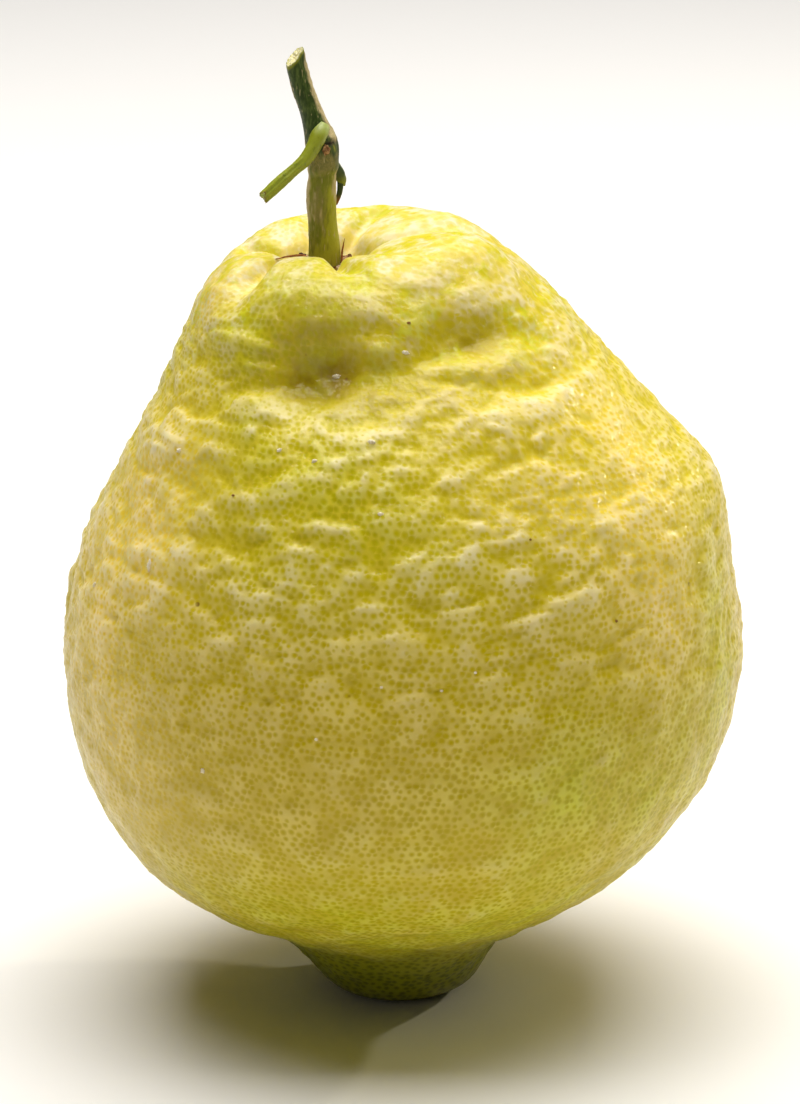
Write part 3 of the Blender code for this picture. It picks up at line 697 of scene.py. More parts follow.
# Two UV maps for the glands, in steps of one gland. Each cuts the rind into upright gores: u is the
# turn from a gore's middle line times the radius, v is the distance along the rind. The second map's
# gores lie half a gore on. Both are slanted to u - v / sqrt 3 and 2v / sqrt 3, whose square cells make
# rows shifted by half a step.
def addGlandMaps(mesh, along, radius):
    around = rind["around"]
    gore = around // rind["gores"]
    row, column = np.divmod(np.arange((len(along) - 1) * around), around)
    level = np.stack([row, row, row + 1, row + 1], axis=1)
    for name, shift in (("glandsA", 0), ("glandsB", gore // 2)):
        strip = (column + shift) // gore
        middle = strip * gore + gore / 2 - shift
        offset = np.stack([column, column + 1, column + 1, column], axis=1) - middle[:, None]
        u = offset * (2 * math.pi / around) * radius[level]
        v = along[level] + 300 * (strip % rind["gores"] + 1)[:, None]  # no two gores have the same glands
        slanted = np.stack([u - v / 3**0.5, 2 * v / 3**0.5], axis=2).reshape(-1, 2)
        places = np.zeros((len(mesh.loops), 2), np.float32)
        places[: len(slanted)] = slanted / rind["glandPitch"]
        mesh.uv_layers.new(name=name).uv.foreach_set("vector", places.ravel())


# How much of each tint every point has: one less the product of what each patch leaves, with ragged
# edges.
def tintAmounts(points, angle):
    ragged = 1 + 0.8 * noiseField(points / 14 + 3.1, seed=31) + 0.5 * noiseField(points / 5, seed=32)
    x, y, z = points.T
    amounts = {}
    for name, patches in rindTints.items():
        left = np.ones(len(points))
        for degrees, midZ, halfWidth, halfHeight, amount in patches:
            aside = np.radians(turnFrom(degrees, angle)) * np.hypot(x, y) / halfWidth
            left *= 1 - amount * bell(aside, (z - midZ) / halfHeight, sharpness=0.7)
        amounts[name] = np.clip((1 - left) * ragged, 0, 1)
    return amounts


# Each value of the grid mixed with its four neighbours' again and again.
def softened(grid, rounds):
    for _ in range(rounds):
        below, above = np.concatenate([grid[:1], grid[:-1]]), np.concatenate([grid[1:], grid[-1:]])
        grid = (grid + np.roll(grid, 1, axis=1) + np.roll(grid, -1, axis=1) + below + above) / 5
    return grid


# The masks and tints that the rind's material reads. A fold is proud where it stands above the softened
# folds. The crest mask also grows where a fold faces up and the hollow mask where it faces down, so the
# colour of the crests is partly a painted highlight of the light from above and that of the pits
# partly painted shade.
def rindValues(plain, folds, forms, along, angle, distances):
    height = folds.reshape(-1, rind["around"])
    slope = -np.gradient(height, distances, axis=0)  # above 0 where a fold faces up
    proud = height - 0.5 * softened(height, 12) - 0.5 * softened(height, 60)
    z = plain[:, 2]
    past = along - levelDistances()[rind["crest"]]
    measures = {
        "crest": proud + 0.25 * slope,
        "hollow": -proud - 0.2 * slope,
        "crease": -proud,
        # Painted shade in the large hollows.
        "deep": -forms,
        "high": z,
        "top": z,
        "nipple": z + 3 * noiseField(plain / 8, seed=33),
        "shoulder": past,
    }
    values = {name: smoothStep(measure, *rindMasks[name]) for name, measure in measures.items()}
    values["inCavity"] = smoothStep(past, 2, past.max())
    values.update(tintAmounts(plain, angle))
    return {name: value.reshape(height.shape) for name, value in values.items()}


# The rind on a grid of distances along it and turns round it, closed by a socket that the twig stands in.
def makeRind():
    around, rings = rind["around"], rind["rings"]
    knots = levelDistances()
    even = np.linspace(0, knots[-1], 600)
    count = np.cumsum(1 + rind["finerAbove"] * smoothStep(even, *rind["finerFrom"]))
    distances = np.interp(np.linspace(count[0], count[-1], rings), count, even)
    turns = ringTurns(around)
    along, angle = (grid.ravel() for grid in np.meshgrid(distances, turns, indexing="ij"))
    plain, points, folds, forms = rindPoints(along, angle)
    stemX, stemY, _, floorZ = rind["levels"][-1][:4]
    floors = [np.array((stemX, stemY, floorZ - depth)) for depth in rind["socketDepths"]]
    lips = [floor + circle(turns) * rind["socketRadius"] for floor in floors]
    skin = np.concatenate([points.reshape(rings, around, 3), lips])
    mesh = skinMesh("rind", (0, 0, 0), skin, floors[-1])

    pad = np.zeros((len(lips), around))
    level = plain.reshape(rings, around, 3)[..., :2]
    radius = np.linalg.norm(level - level.mean(axis=1, keepdims=True), axis=2).mean(axis=1)
    down = distances[-1] + 0.5 + 3 * np.arange(len(lips))
    reach = np.concatenate([radius, np.full(len(lips), rind["socketRadius"])])
    addGlandMaps(mesh, np.concatenate([distances, down]), reach)
    values = rindValues(plain, folds, forms, along, angle, distances)
    goreWidth = radius * (math.pi / rind["gores"] / 2) / rind["glandPitch"]
    values["goreWidth"] = np.repeat(goreWidth[:, None], around, axis=1)
    addValues(mesh, {name: np.concatenate([value, pad]) for name, value in values.items()})
    return addPiece("rind", mesh, rindMaterial(), "fruit")


# Bits that lie on the front of the rind: middle x and z, half width, half height and tilt.
scurf = {
    "flakes": (
        (-9, 109.8, 0.7, 0.4, 12), (-4, 103, 0.55, 0.4, -10), (-38, 81, 0.4, 0.9, 8),
        (-30, 52.5, 0.45, 0.4, 0), (-33.5, 98, 0.5, 0.35, 20), (-47.5, 74.5, 0.3, 0.5, 0),
        (-12.5, 100, 0.5, 0.3, 5), (-18, 101, 0.4, 0.3, -20), (1.5, 114, 0.5, 0.3, 10),
        (-2.5, 93.5, 0.4, 0.3, 0), (-2.5, 68.5, 0.22, 0.2, 0), (6.5, 68, 0.25, 0.2, 0),
        (12, 70.5, 0.22, 0.2, 0), (-12.5, 60.5, 0.25, 0.22, 0),
    ),
    "spots": (
        (2, 118, 0.3, 0.2, 0), (-25, 94, 0.26, 0.16, 10), (34, 75, 0.28, 0.22, 0),
        (20.5, 89, 0.2, 0.16, 0),
    ),
    "height": 0.16,  # half thickness
    "whites": ((250, 242, 218), (232, 214, 172)),
    "browns": ((166, 120, 50), (130, 86, 36)),
}


# Each bit is a flat lump at the front vertex of the skin nearest its place, turned by its tilt. Bits of
# one kind make one mesh.
def makeScurf(skin):
    places = np.empty(3 * len(skin.data.vertices))
    skin.data.vertices.foreach_get("co", places)
    places = places.reshape(-1, 3) / mm
    front = places[places[:, 1] < -8]
    for kind, colours in (("flakes", scurf["whites"]), ("spots", scurf["browns"])):
        joined = bmesh.new()
        for number, (x, z, halfWidth, halfHeight, tilt) in enumerate(scurf[kind]):
            nearest = front[np.argmin((front[:, 0] - x) ** 2 + (front[:, 2] - z) ** 2)]
            size = (halfWidth, scurf["height"], halfHeight)
            bit = lumpMesh("bit", (0, 0, 0), size, 201 + number)
            turned = Matrix.Rotation(math.radians(tilt), 4, "Y")
            bit.transform(Matrix.Translation(Vector(nearest * mm)) @ turned)
            joined.from_mesh(bit)
            bpy.data.meshes.remove(bit)
        mesh = bpy.data.meshes.new(kind)
        joined.to_mesh(mesh)
        joined.free()
        addPiece(kind, mesh, dryMaterial(kind, *colours), "fruit")


rindFinish = {
    "straw": (214, 190, 94),
    # A lighter straw for the upper half: painted top light.
    "strawLitTop": (236, 218, 140),
    # Cream for the crests: partly their own pale ground, partly a painted highlight.
    "cream": (232, 220, 180),
    "peach": (252, 226, 150),
    "leaf": (210, 207, 62),
    "leafHigh": (203, 199, 34),
    # Olive: partly the rind's own olive, partly painted shade in the neck's hollows.
    "olive": (172, 150, 14),
    "gold": (230, 208, 92),
    "pit": (189, 164, 5),
    # A lighter pit colour for the upper half: painted top light.
    "pitLitTop": (214, 195, 34),
    # A darker pit colour for the large hollows: painted shade.
    "pitDeepShade": (140, 114, 0),
    "nipple": (130, 132, 20),
    "glandOlive": (188, 163, 0),
    # A lighter gland colour for the upper half: painted top light.
    "glandLitTop": (206, 187, 14),
    "glandPeach": (240, 206, 70),
    "glandLeaf": (180, 171, 6),
    "glandDark": (96, 96, 8),
    "speck": (130, 96, 40),
    "speckStep": 5,
    "roughness": (0.33, 0.5),
    "specular": 0.06,
    "glow": (0.22, 1.6, (1, 0.75, 0.2)),
    "wax": 0.3,
    "waxRoughness": 0.08,
    "scatter": 0.62,  # how far the glands stray from even rows
}


# One layer of glands on one of the maps: a soft dot at each cell's centre, only where that centre lies
# on the middle half of a gore, so that no dot is cut at a seam.
def glandLayer(mapName, goreWidth, size):
    place = addNode("UVMap", uv_map=mapName).outputs[0]
    feeds = {"Vector": place, "Scale": 1, "Randomness": rindFinish["scatter"]}
    cells = addNode("TexVoronoi", feeds, voronoi_dimensions="2D", feature="F1")
    spot = cells.outputs["Position"]
    away = addNode("VectorMath", {0: spot, 1: place}, operation="SUBTRACT").outputs[0]
    aside, up = straightened(away)
    distance = calc("SQRT", calc("ADD", times(aside, aside), times(up, up)))
    centre, _ = straightened(spot)
    inside = calc("LESS_THAN", calc("ABSOLUTE", centre), goreWidth)
    random = addNode("SeparateColor", {0: cells.outputs["Color"]}).outputs[0]
    reach = calc("DIVIDE", distance, times(size, rise(random, 0, 1, 0.75, 1.15)))
    return times(rise(reach, 0.1, 0.58, 1, 0), inside)


# Undoes the slant of the gland maps: u is x + y / 2, v is y times sqrt 3 / 2.
def straightened(vector):
    x, y, _ = addNode("SeparateXYZ", {0: vector}).outputs
    return calc("ADD", x, times(y, 0.5)), times(y, 3**0.5 / 2)


# Ground colours by height and tint, pits in the hollows, a pale veil on the crests, then glands and
# specks. The lighter colours higher up are painted top light, the pits are partly painted shade and
# darker still in the large hollows, and the veil is partly a painted highlight on folds that face up.
# The wax over them lets light through and shines in dents of its own.
def rindMaterial():
    finish = rindFinish
    material, shader = newMaterial("peel", finish)
    crest, hollow, crease, deep, high, top = attributes("crest hollow crease deep high top")
    nipple, inCavity, shoulder, goreWidth = attributes("nipple inCavity shoulder goreWidth")
    peach, leaf, gold, olive = attributes("peach leaf gold olive")
    broad, middling, fine = lumps(16), lumps(4, 3), lumps(0.9, 3, 0.6)
    hollow = times(hollow, rise(high, 0, 1, 0.5, 1))

    # Pit colour: lighter higher up as painted top light, darker in the large hollows as painted shade.
    pit = mixColours(high, "pit", "pitLitTop")
    pit = mixColours(deep, pit, "pitDeepShade")
    pitShare = times(hollow, rise(peach, 0, 1, 0.85, 0.35))
    blotch = rise(lumps(7, 3, 0.6), 0.46, 0.6)
    above = calc("MAXIMUM", shoulder, times(top, 0.8))
    paler = rise(lumps(3.2, 3, 0.6), 0.42, 0.6, 0, 0.75)
    # The veil: pale crests and upper parts, partly a painted highlight, and less where painted shade lies.
    veilAndSheen = times(crest, rise(middling, 0.3, 0.6, 0.2, 0.75), rise(high, 0.2, 1, 0.25, 0.9))
    veilAndSheen = times(
        calc("MAXIMUM", veilAndSheen, times(above, paler)),
        rise(lumps(1.7, 2, 0.6), 0.32, 0.54, 0.5, 1.1),
        rise(calc("MAXIMUM", olive, deep), 0, 0.9, 1, 0.2),
    )
    # Ground: lighter higher up, as painted top light.
    ground = layered(
        mixColours(high, "straw", "strawLitTop"),
        (rise(broad, 0.35, 0.65, 0, 0.5), "gold"),
        (times(gold, 0.8), "gold"),
        (leaf, "leaf"),
        (peach, "peach"),
        (times(inCavity, 0.8), "peach"),
        # Olive, partly painted shade in the neck's hollows.
        (times(olive, 0.8), "olive"),
        # Pits in the hollows, partly painted shade.
        (calc("MAXIMUM", pitShare, times(deep, 0.7)), pit),
        (times(blotch, times(top, 0.9)), "leafHigh"),
        (rise(lumps(6, 3, 0.6), 0.38, 0.62, 0.45, 0), pit),
        # Pale crests, partly a painted highlight.
        (veilAndSheen, "cream"),
        (nipple, "nipple"),
    )

    # Glands are smaller on the crests, and fade there, near the top, in the cavity and in the large
    # hollows. Their colour is lighter higher up, as painted top light, and darker in the large hollows, as
    # painted shade.
    size = calc("ADD", rise(crest, 0, 1, 0.95, 0.6), times(hollow, 0.25))
    layers = [glandLayer(name, goreWidth, size) for name in ("glandsA", "glandsB")]
    dots = calc("MAXIMUM", *layers)
    fades = ((crest, 1, 0.7), (shoulder, 1, 0.6), (top, 1, 0.85), (inCavity, 0.3, 0.2), (deep, 0.8, 0.35))
    gland = layered(
        mixColours(high, "glandOlive", "glandLitTop"),
        (deep, "pitDeepShade"),
        (leaf, "glandLeaf"),
        (peach, "glandPeach"),
        (nipple, "glandDark"),
    )
    place = addNode("TexCoord").outputs["Object"]
    feeds = {"Vector": place, "Scale": 1 / (finish["speckStep"] * mm), "Randomness": 1}
    speck = rise(addNode("TexVoronoi", feeds).outputs["Distance"], 0.05, 0.1, 1, 0)
    skin = layered(
        ground,
        (times(dots, *(rise(mask, 0, full, 1, left) for mask, full, left in fades)), gland),
        (times(speck, crease), "speck"),
    )
    shade = mixColours(fine, (0.2, 0.2, 0.2, 1), (0.8, 0.8, 0.8, 1))
    dents = times(dots, -1)
    feedAll(shader, {
        "Base Color": mixColours(0.12, skin, shade, "SOFT_LIGHT"),
        "Roughness": rise(middling, 0.3, 0.7, *finish["roughness"]),
        "Specular IOR Level": finish["specular"],
        "Coat Weight": finish["wax"],
        "Coat Roughness": finish["waxRoughness"],
        "Normal": bumps((dents, 0.015), (fine, 0.05)),
        "Coat Normal": bumps((dents, 0.08), (lumps(2), 0.6), (fine, 0.1)),
    })
    addGlow(shader, finish)
    return material


# Twig

twig = {
    "around": 96,
    "rings": 250,
    "faceRings": 14,  # across the cut top
    # x, y, z and radius from the foot in the fruit to past the cut
    "path": (
        (-11.4, -2, 115.6, 2.6), (-11.4, -2, 122.3, 2.6), (-11.45, -2, 125.5, 2.45),
        (-11.7, -2, 129.2, 2.25), (-11.85, -2, 133, 2.35), (-11.75, -2, 136, 2.2),
        (-11.5, -2, 138.7, 2.35), (-11.7, -2, 141, 2.6), (-12.1, -2, 142.6, 2.45),
        (-12.7, -2, 144.3, 2.05), (-13.4, -2, 146.4, 1.75), (-14.9, -2, 150.8, 1.65),
        (-15.7, -2, 154, 1.6), (-16.4, -2, 158.5, 1.45),
    ),
    "cutMiddle": (-15.9, -2, 155.4),
    "cutFaces": (-0.68, -0.28, 0.67),
    # Patches of bark: turn from the front towards the right, z, half turn, half height, amount.
    "tan": (
        (-80, 134, 32, 6.5, 1), (-80, 140, 22, 3.5, 0.7), (72, 135, 26, 2.6, 1),
        (0, 130, 12, 3.2, 0.6), (-34, 131, 26, 5, 0.5), (82, 150, 30, 8, 1),
        (60, 143.6, 30, 1.8, 0.9), (-78, 150, 20, 6, 0.6), (175, 146, 40, 10, 0.5),
    ),
    "brown": (
        (0, 138.8, 80, 2.2, 0.85), (30, 139.5, 60, 2, 0.6), (-10, 132, 34, 4.5, 0.7),
        (150, 138, 60, 3, 0.6),
    ),
    "fresh": (
        (50, 127, 45, 5, 1), (60, 132, 36, 5, 0.85), (0, 124, 100, 2.6, 0.8), (35, 133, 20, 3, 0.7),
        (45, 141.5, 22, 1.4, 0.5), (150, 126, 60, 5, 0.8),
    ),
    # Rings round the twig: height, place, half width
    "jointGroove": (-0.12, 136.6, 0.6),
    "jointSwell": (0.12, 137.9, 0.8),
    "scarGroove": (-0.30, 142.1, 0.28),
    "scarRim": (0.22, 142.9, 0.45),
    "scarShade": (1, 142.1, 0.35),
    "scar": (1, 38, 34),  # share, turn and half width in degrees
    "facets": (0.09, 137, 146),  # height, and where they begin and are full
    "grain": ((0.10, 0.5, 0.22), (0.05, 0.35, 1)),
    "warts": (0.13, 0.10),  # height on tan and on brown bark
    "tornWood": ((0.3, 0.4, 0.4), (0.14, 0.2, 1)),
    "cutLip": (0.12, 0.12, 0.07746),  # height, then place and half width as shares of the way in
    "pith": (0.16, 0.62, 0.85),  # depth, then where it begins and is deepest
}


# A ring round the twig: height * exp(-((z - place) / half width)^2).
def ringRelief(z, height, place, halfWidth):
    return height * bell((z - place) / halfWidth)


# The curve's distance at each row of a path.
def pathKnots(path):
    return np.concatenate([[0], np.cumsum(np.linalg.norm(np.diff(path[:, :3], axis=0), axis=1))])


# Points round a tube: the path's point plus radius times (cos turn * front + sin turn * side). Front is
# square to the path and as near to the viewer's side as it can be, and side is square to both.
def tubePoints(path, along, turn):
    knots = pathKnots(path)
    rows = curveThrough(knots, path, along)
    step = 0.05
    ahead, behind = (curveThrough(knots, path, along + way)[..., :3] for way in (step, -step))
    tangent = unit(ahead - behind)
    front = np.array([0, -1, 0])
    first = unit(front - (tangent @ front)[..., None] * tangent)
    across = np.cos(turn)[..., None] * first + np.sin(turn)[..., None] * np.cross(tangent, first)
    return rows[..., :3] + rows[..., 3:] * across, across


# A whole tube on a grid of distances and turns.
def tubeGrid(path, around, rings):
    distances = np.linspace(0, pathKnots(path)[-1], rings)
    along, turn = np.meshgrid(distances, ringTurns(around), indexing="ij")
    return along, turn, *tubePoints(path, along, turn)


# Share of a kind of bark at each point, from its patches, with ragged edges drawn out along the twig.
def barkShare(patches, turn, points, seed):
    drawn = points * (1, 1, 0.28)
    ragged = noiseField(drawn / 0.55 + 9, seed=seed) + 0.5 * noiseField(drawn / 0.25, seed=seed + 1)
    share = np.zeros(len(points))
    for degrees, midZ, halfTurn, halfHeight, amount in patches:
        offsets = turnFrom(degrees, turn) / halfTurn, (points[:, 2] - midZ) / halfHeight
        share = np.maximum(share, amount * bell(*offsets, sharpness=0.8))
    return smoothStep(share + 0.45 * ragged, 0.35, 0.75)


# The twig: a tube with three facets, warty bark, a swollen joint and a leaf scar, cut off slanting at
# the top. The cut face's rings are drawn in from the rim to its middle, with a bark lip, torn wood and
# a sunk pith.
def makeTwig():
    path = np.array(twig["path"])
    reach = pathKnots(path)[-1]
    turns = ringTurns(twig["around"])
    faces = unit(np.array(twig["cutFaces"]))
    cutAt = np.array(twig["cutMiddle"])

    # Each line of points along the twig ends at the cut: the first place past it on a fine scale.
    scale = np.linspace(0.6 * reach, reach, 400)
    tried, _ = tubePoints(path, *np.meshgrid(scale, turns, indexing="ij"))
    end = scale[np.argmax((tried - cutAt) @ faces > 0, axis=0)]
    end = end + 0.3 * noiseField(circle(turns) * 2.5, seed=41)
    share = np.linspace(0, 1, twig["rings"])
    along = share[:, None] * end
    turn = np.broadcast_to(turns, along.shape)
    plain, across = tubePoints(path, along, turn)

    flat = plain.reshape(-1, 3)
    z = flat[:, 2]
    turned = turn.ravel()
    kinds = (("tan", 42), ("brown", 44), ("fresh", 46))
    tan, brown, fresh = (barkShare(twig[kind], turned, flat, seed) for kind, seed in kinds)
    scar = ridgeRelief(turned, *twig["scar"])
    facetHeight, *facetSpan = twig["facets"]
    facets = facetHeight * np.cos(3 * turned + 0.6 + 0.05 * (z - 140)) * smoothStep(z, *facetSpan)
    grain = grainField(flat, 48, *twig["grain"])
    tanWarts, brownWarts = twig["warts"]
    warts = tanWarts * tan * (0.4 + noiseField(flat * (1, 1, 0.45) / 0.4, seed=50))
    warts += brownWarts * brown * noiseField(flat / 0.45, seed=51)
    wavy = z - 0.35 * np.cos(turned - 1)
    joint = ringRelief(wavy, *twig["jointGroove"]) + ringRelief(z, *twig["jointSwell"])
    ring = scar * (ringRelief(z, *twig["scarGroove"]) + ringRelief(z, *twig["scarRim"]))
    relief = facets + grain * (0.4 + 0.6 * np.maximum(tan, brown)) + warts + joint + ring
    relief *= smoothStep(z, 119, 121)
    side = plain + relief.reshape(*along.shape, 1) * across

    inward = np.linspace(0, 1, twig["faceRings"] + 1)[1:-1, None]
    face = side[-1] + inward[..., None] * (cutAt - side[-1])
    torn = grainField(face.reshape(-1, 3), 52, *twig["tornWood"]).reshape(face.shape[:2])
    pithDepth, *pithSpan = twig["pith"]
    lip = ringRelief(inward, *twig["cutLip"]) - pithDepth * smoothStep(inward, *pithSpan)
    face = face + (torn * smoothStep(inward, 0, 0.15) + lip)[..., None] * faces
    mesh = skinMesh("twig", path[0, :3], np.concatenate([side, face]), cutAt - 0.14 * faces)

    rim = np.repeat(0.6 * smoothStep(share, 0.985, 1), len(turns))
    bark = {
        "tan": tan,
        "brown": brown,
        "fresh": np.maximum(fresh, rim),
        # Painted shade: dark brown in the groove of the leaf scar.
        "dark": scar * ringRelief(z, *twig["scarShade"]),
        "low": 1 - smoothStep(z, 136, 140),
    }
    wide = np.repeat(inward, len(turns), axis=1)
    none = np.zeros_like(wide)
    values = {name: np.concatenate([value.reshape(along.shape), none]) for name, value in bark.items()}
    for name, value in (("wood", 0.15 + smoothStep(wide, 0, 0.2)), ("pith", smoothStep(wide, 0.55, 0.8))):
        values[name] = np.concatenate([np.zeros_like(along), value])
    addValues(mesh, values)
    return addPiece("twig", mesh, twigMaterial(), "stem")


twigFinish = {
    "dark": (44, 62, 6),
    "darkStripe": (84, 100, 40),
    "low": (122, 126, 22),
    "lowStripe": (148, 144, 52),
    "fresh": (168, 166, 42),
    "brown": (140, 130, 66),
    "tan": (190, 172, 122),
    # Dark brown for the groove of the leaf scar: painted shade.
    "scar": (44, 32, 14),
    "wood": (244, 238, 206),
    "woodGreen": (214, 206, 120),
    "pith": (206, 192, 140),
    "roughness": (0.4, 0.68),
    "specular": 0.28,
}


# Striped bark, dark above and paler below, with fresh, brown and tan patches and short tan dashes over
# it, and painted shade in the groove of the leaf scar.
def twigMaterial():
    finish = twigFinish
    material, shader = newMaterial("twigBark", finish)
    low, fresh, brown, tan, dark, wood, pith = attributes("low fresh brown tan dark wood pith")
    grain = lumps(0.5, 4, 0.6, stretch=4)
    spots = lumps(0.3, 3, 0.6)
    stripes = rise(grain, 0.4, 0.7)
    upper = mixColours(stripes, "dark", "darkStripe")
    lower = mixColours(stripes, "low", "lowStripe")
    dashes = rise(lumps(0.32, 1, 0.5, stretch=9), 0.66, 0.72)
    colour = layered(
        upper,
        (low, lower),
        (fresh, "fresh"),
        (times(brown, rise(spots, 0.3, 0.6, 0.55, 1)), "brown"),
        (times(tan, rise(spots, 0.25, 0.55, 0.6, 1)), "tan"),
        (times(dashes, 0.7), "tan"),
        # Painted shade in the leaf scar's groove.
        (dark, "scar"),
        (wood, mixColours(rise(spots, 0.35, 0.65), "wood", "woodGreen")),
        (times(pith, 0.6), "pith"),
    )
    feedAll(shader, {
        "Base Color": colour,
        "Roughness": rise(spots, 0.3, 0.7, *finish["roughness"]),
        "Specular IOR Level": finish["specular"],
        "Normal": bumps((grain, 0.06), (spots, 0.04)),
    })
    return material


# Side stalk, spur and bud

sideStalk = {
    "around": 64,
    "rings": 130,
    "path": (
        (-11.7, -2.6, 144.5, 1.25), (-12.1, -3.7, 143.5, 1.35), (-13, -4.6, 141.7, 1.16),
        (-14.45, -5.4, 139.6, 1.05), (-15.75, -5.8, 138.5, 0.92), (-18.2, -6.4, 136.4, 1.02),
        (-21.2, -7, 133.7, 0.9),
    ),
    "channel": (0.34, 150, 32),  # the groove along its upper side: depth, turn and half width
    "channelSpan": (2, 7),  # distances from the foot where it begins and is full
    "bite": (0.9, 40, 40),  # where the torn end is shortest: depth, turn and half width
    "ridges": 7,
    "ridgeHeight": 0.07,
    "ridgeSpan": (5, 8),
    "grain": ((0.05, 0.9, 1), (0.03, 0.3, 1)),
}
spur = {
    "around": 40,
    "rings": 60,
    "grain": ((0.12, 0.8, 1), (0.05, 0.3, 1)),
    "path": (
        (-11, -1.4, 139.4, 0.9), (-10, -0.8, 137.9, 1), (-8.9, -0.2, 135.9, 0.9),
        (-8.4, 0.2, 134.7, 0.45), (-8.2, 0.25, 134.35, 0.12),
    ),
    "tipPath": (
        (-8.9, -0.1, 135.6, 0.5), (-8.95, -0.1, 133.8, 0.45), (-9.3, -0.2, 132.2, 0.3),
        (-9.5, -0.2, 131.4, 0.12),
    ),
}
bud = {
    "middle": (-11.1, -4.3, 141.1),
    "size": (0.62, 0.5, 0.8),
    "around": 36,
    "rings": 24,
    "roughness": 0.55,
}


# The stalk: a tube with ridges and a channel along it, and a torn end of ragged length that is hollowed.
def makeSideStalk():
    path = np.array(sideStalk["path"])
    knots = pathKnots(path)
    turns = ringTurns(sideStalk["around"])
    torn = 0.5 * noiseField(circle(turns) * 2.2, seed=61) + 0.25 * noiseField(circle(turns) * 6, seed=62)
    end = knots[-1] - 0.3 + torn - ridgeRelief(turns, *sideStalk["bite"])
    share = np.linspace(0, 1, sideStalk["rings"])
    along = share[:, None] * end
    turn = np.broadcast_to(turns, along.shape)
    groove = -ridgeRelief(turn, *sideStalk["channel"]) * smoothStep(along, *sideStalk["channelSpan"])
    ridges = sideStalk["ridgeHeight"] * np.cos(sideStalk["ridges"] * turn + 0.8)
    ridges = ridges * smoothStep(along, *sideStalk["ridgeSpan"])
    plain, across = tubePoints(path, along, turn)
    grain = grainField(plain.reshape(-1, 3), 63, *sideStalk["grain"]).reshape(along.shape)
    side = plain + (groove + ridges + grain)[..., None] * across
    middle = curveThrough(knots, path, np.array([end.mean() - 0.5]))[0, :3]
    inward = np.linspace(0, 1, 9)[1:-1, None, None]
    cup = side[-1] + inward * (middle - side[-1])
    mesh = skinMesh("sideStalk", path[0, :3], np.concatenate([side, cup]), middle)
    inside = np.broadcast_to(smoothStep(inward[..., 0], 0, 0.3), cup.shape[:2])
    edge = np.repeat(smoothStep(share, 0.97, 1)[:, None], len(turns), axis=1)
    addValues(mesh, {
        # Pale at the foot is a painted sheen; pale inside the torn end is the tissue's own colour.
        "pale": np.concatenate([smoothStep(-along, -2.4, -0.6), inside]),
        "edge": np.concatenate([edge, 1 - inside]),
        # Painted shade in the channel and between the ridges.
        "deep": np.concatenate([smoothStep(-groove - 1.2 * ridges, 0.02, 0.2), 0 * inside]),
    })
    return addPiece("sideStalk", mesh, stalkMaterial(), "stem")


stalkFinish = {
    "green": (150, 158, 30),
    "greenDark": (104, 116, 20),
    # Pale: a painted sheen at the foot, and the tissue's own colour inside the torn end.
    "pale": (176, 190, 110),
    "edge": (120, 84, 34),
    "roughness": (0.36, 0.55),
    "glow": (0.15, 0.5, (0.6, 1, 0.2)),
}


# Fresh green in two shades, darker in the channel and between the ridges as painted shade, dry at the
# torn edge, pale inside it, and pale at the foot as a painted sheen.
def stalkMaterial():
    finish = stalkFinish
    material, shader = newMaterial("freshStalk", finish)
    deep, edge, pale = attributes("deep edge pale")
    soft = lumps(1.1, 3, 0.6)
    fine = lumps(0.25, 3, 0.6)
    colour = layered(
        mixColours(rise(soft, 0.5, 0.8), "green", "greenDark"),
        # Painted shade in the channel.
        (times(deep, 0.7), "greenDark"),
        (times(edge, 0.8), "edge"),
        # Painted sheen at the foot, pale tissue inside the torn end.
        (times(pale, 0.6), "pale"),
    )
    finishSurface(shader, colour, fine, finish["roughness"], 0.03)
    addGlow(shader, finish)
    return material


# The spur: a tube flattened to a ridge, and a thin dry scale that hangs below its shoulder.
def makeSpur():
    for name, key, flatten in (("spur", "path", 0.25), ("spurScale", "tipPath", 0.45)):
        path = np.array(spur[key])
        along, turn, plain, across = tubeGrid(path, spur["around"], spur["rings"])
        radius = curveThrough(pathKnots(path), path, along)[..., 3]
        rough = grainField(plain.reshape(-1, 3), 71, *spur["grain"]).reshape(along.shape)
        relief = -flatten * radius * np.cos(turn) ** 2 + rough * np.minimum(radius, 1)
        mesh = skinMesh(name, path[0, :3], plain + relief[..., None] * across, path[-1, :3])
        down = smoothStep(along / along[-1, 0], 0.55, 0.95)
        light, dry = (1, 0) if name == "spur" else (0.3, 1)
        addValues(mesh, {"light": light * down, "dry": dry * down})
        addPiece(name, mesh, spurMaterial(name), "stem")


# Dark green in two shades, lighter or dry towards the tip.
def spurMaterial(name):
    material, shader = newMaterial(name)
    light, dry = attributes("light dry")
    fine = lumps(0.4, 3, 0.6)
    green = mixColours(rise(fine, 0.3, 0.7), (40, 62, 16), (66, 84, 22))
    colour = layered(green, (light, (138, 148, 34)), (dry, (176, 104, 30)))
    finishSurface(shader, colour, fine, (0.4, 0.6), 0.04)
    return material


# The dry bud at the foot of the side stalk: one rough lump.
def makeBud():
    mesh = lumpMesh("bud", seed=81, **bud)
    addPiece("bud", mesh, dryMaterial("dryBud", (196, 150, 96), (116, 74, 36)), "stem")


# Calyx

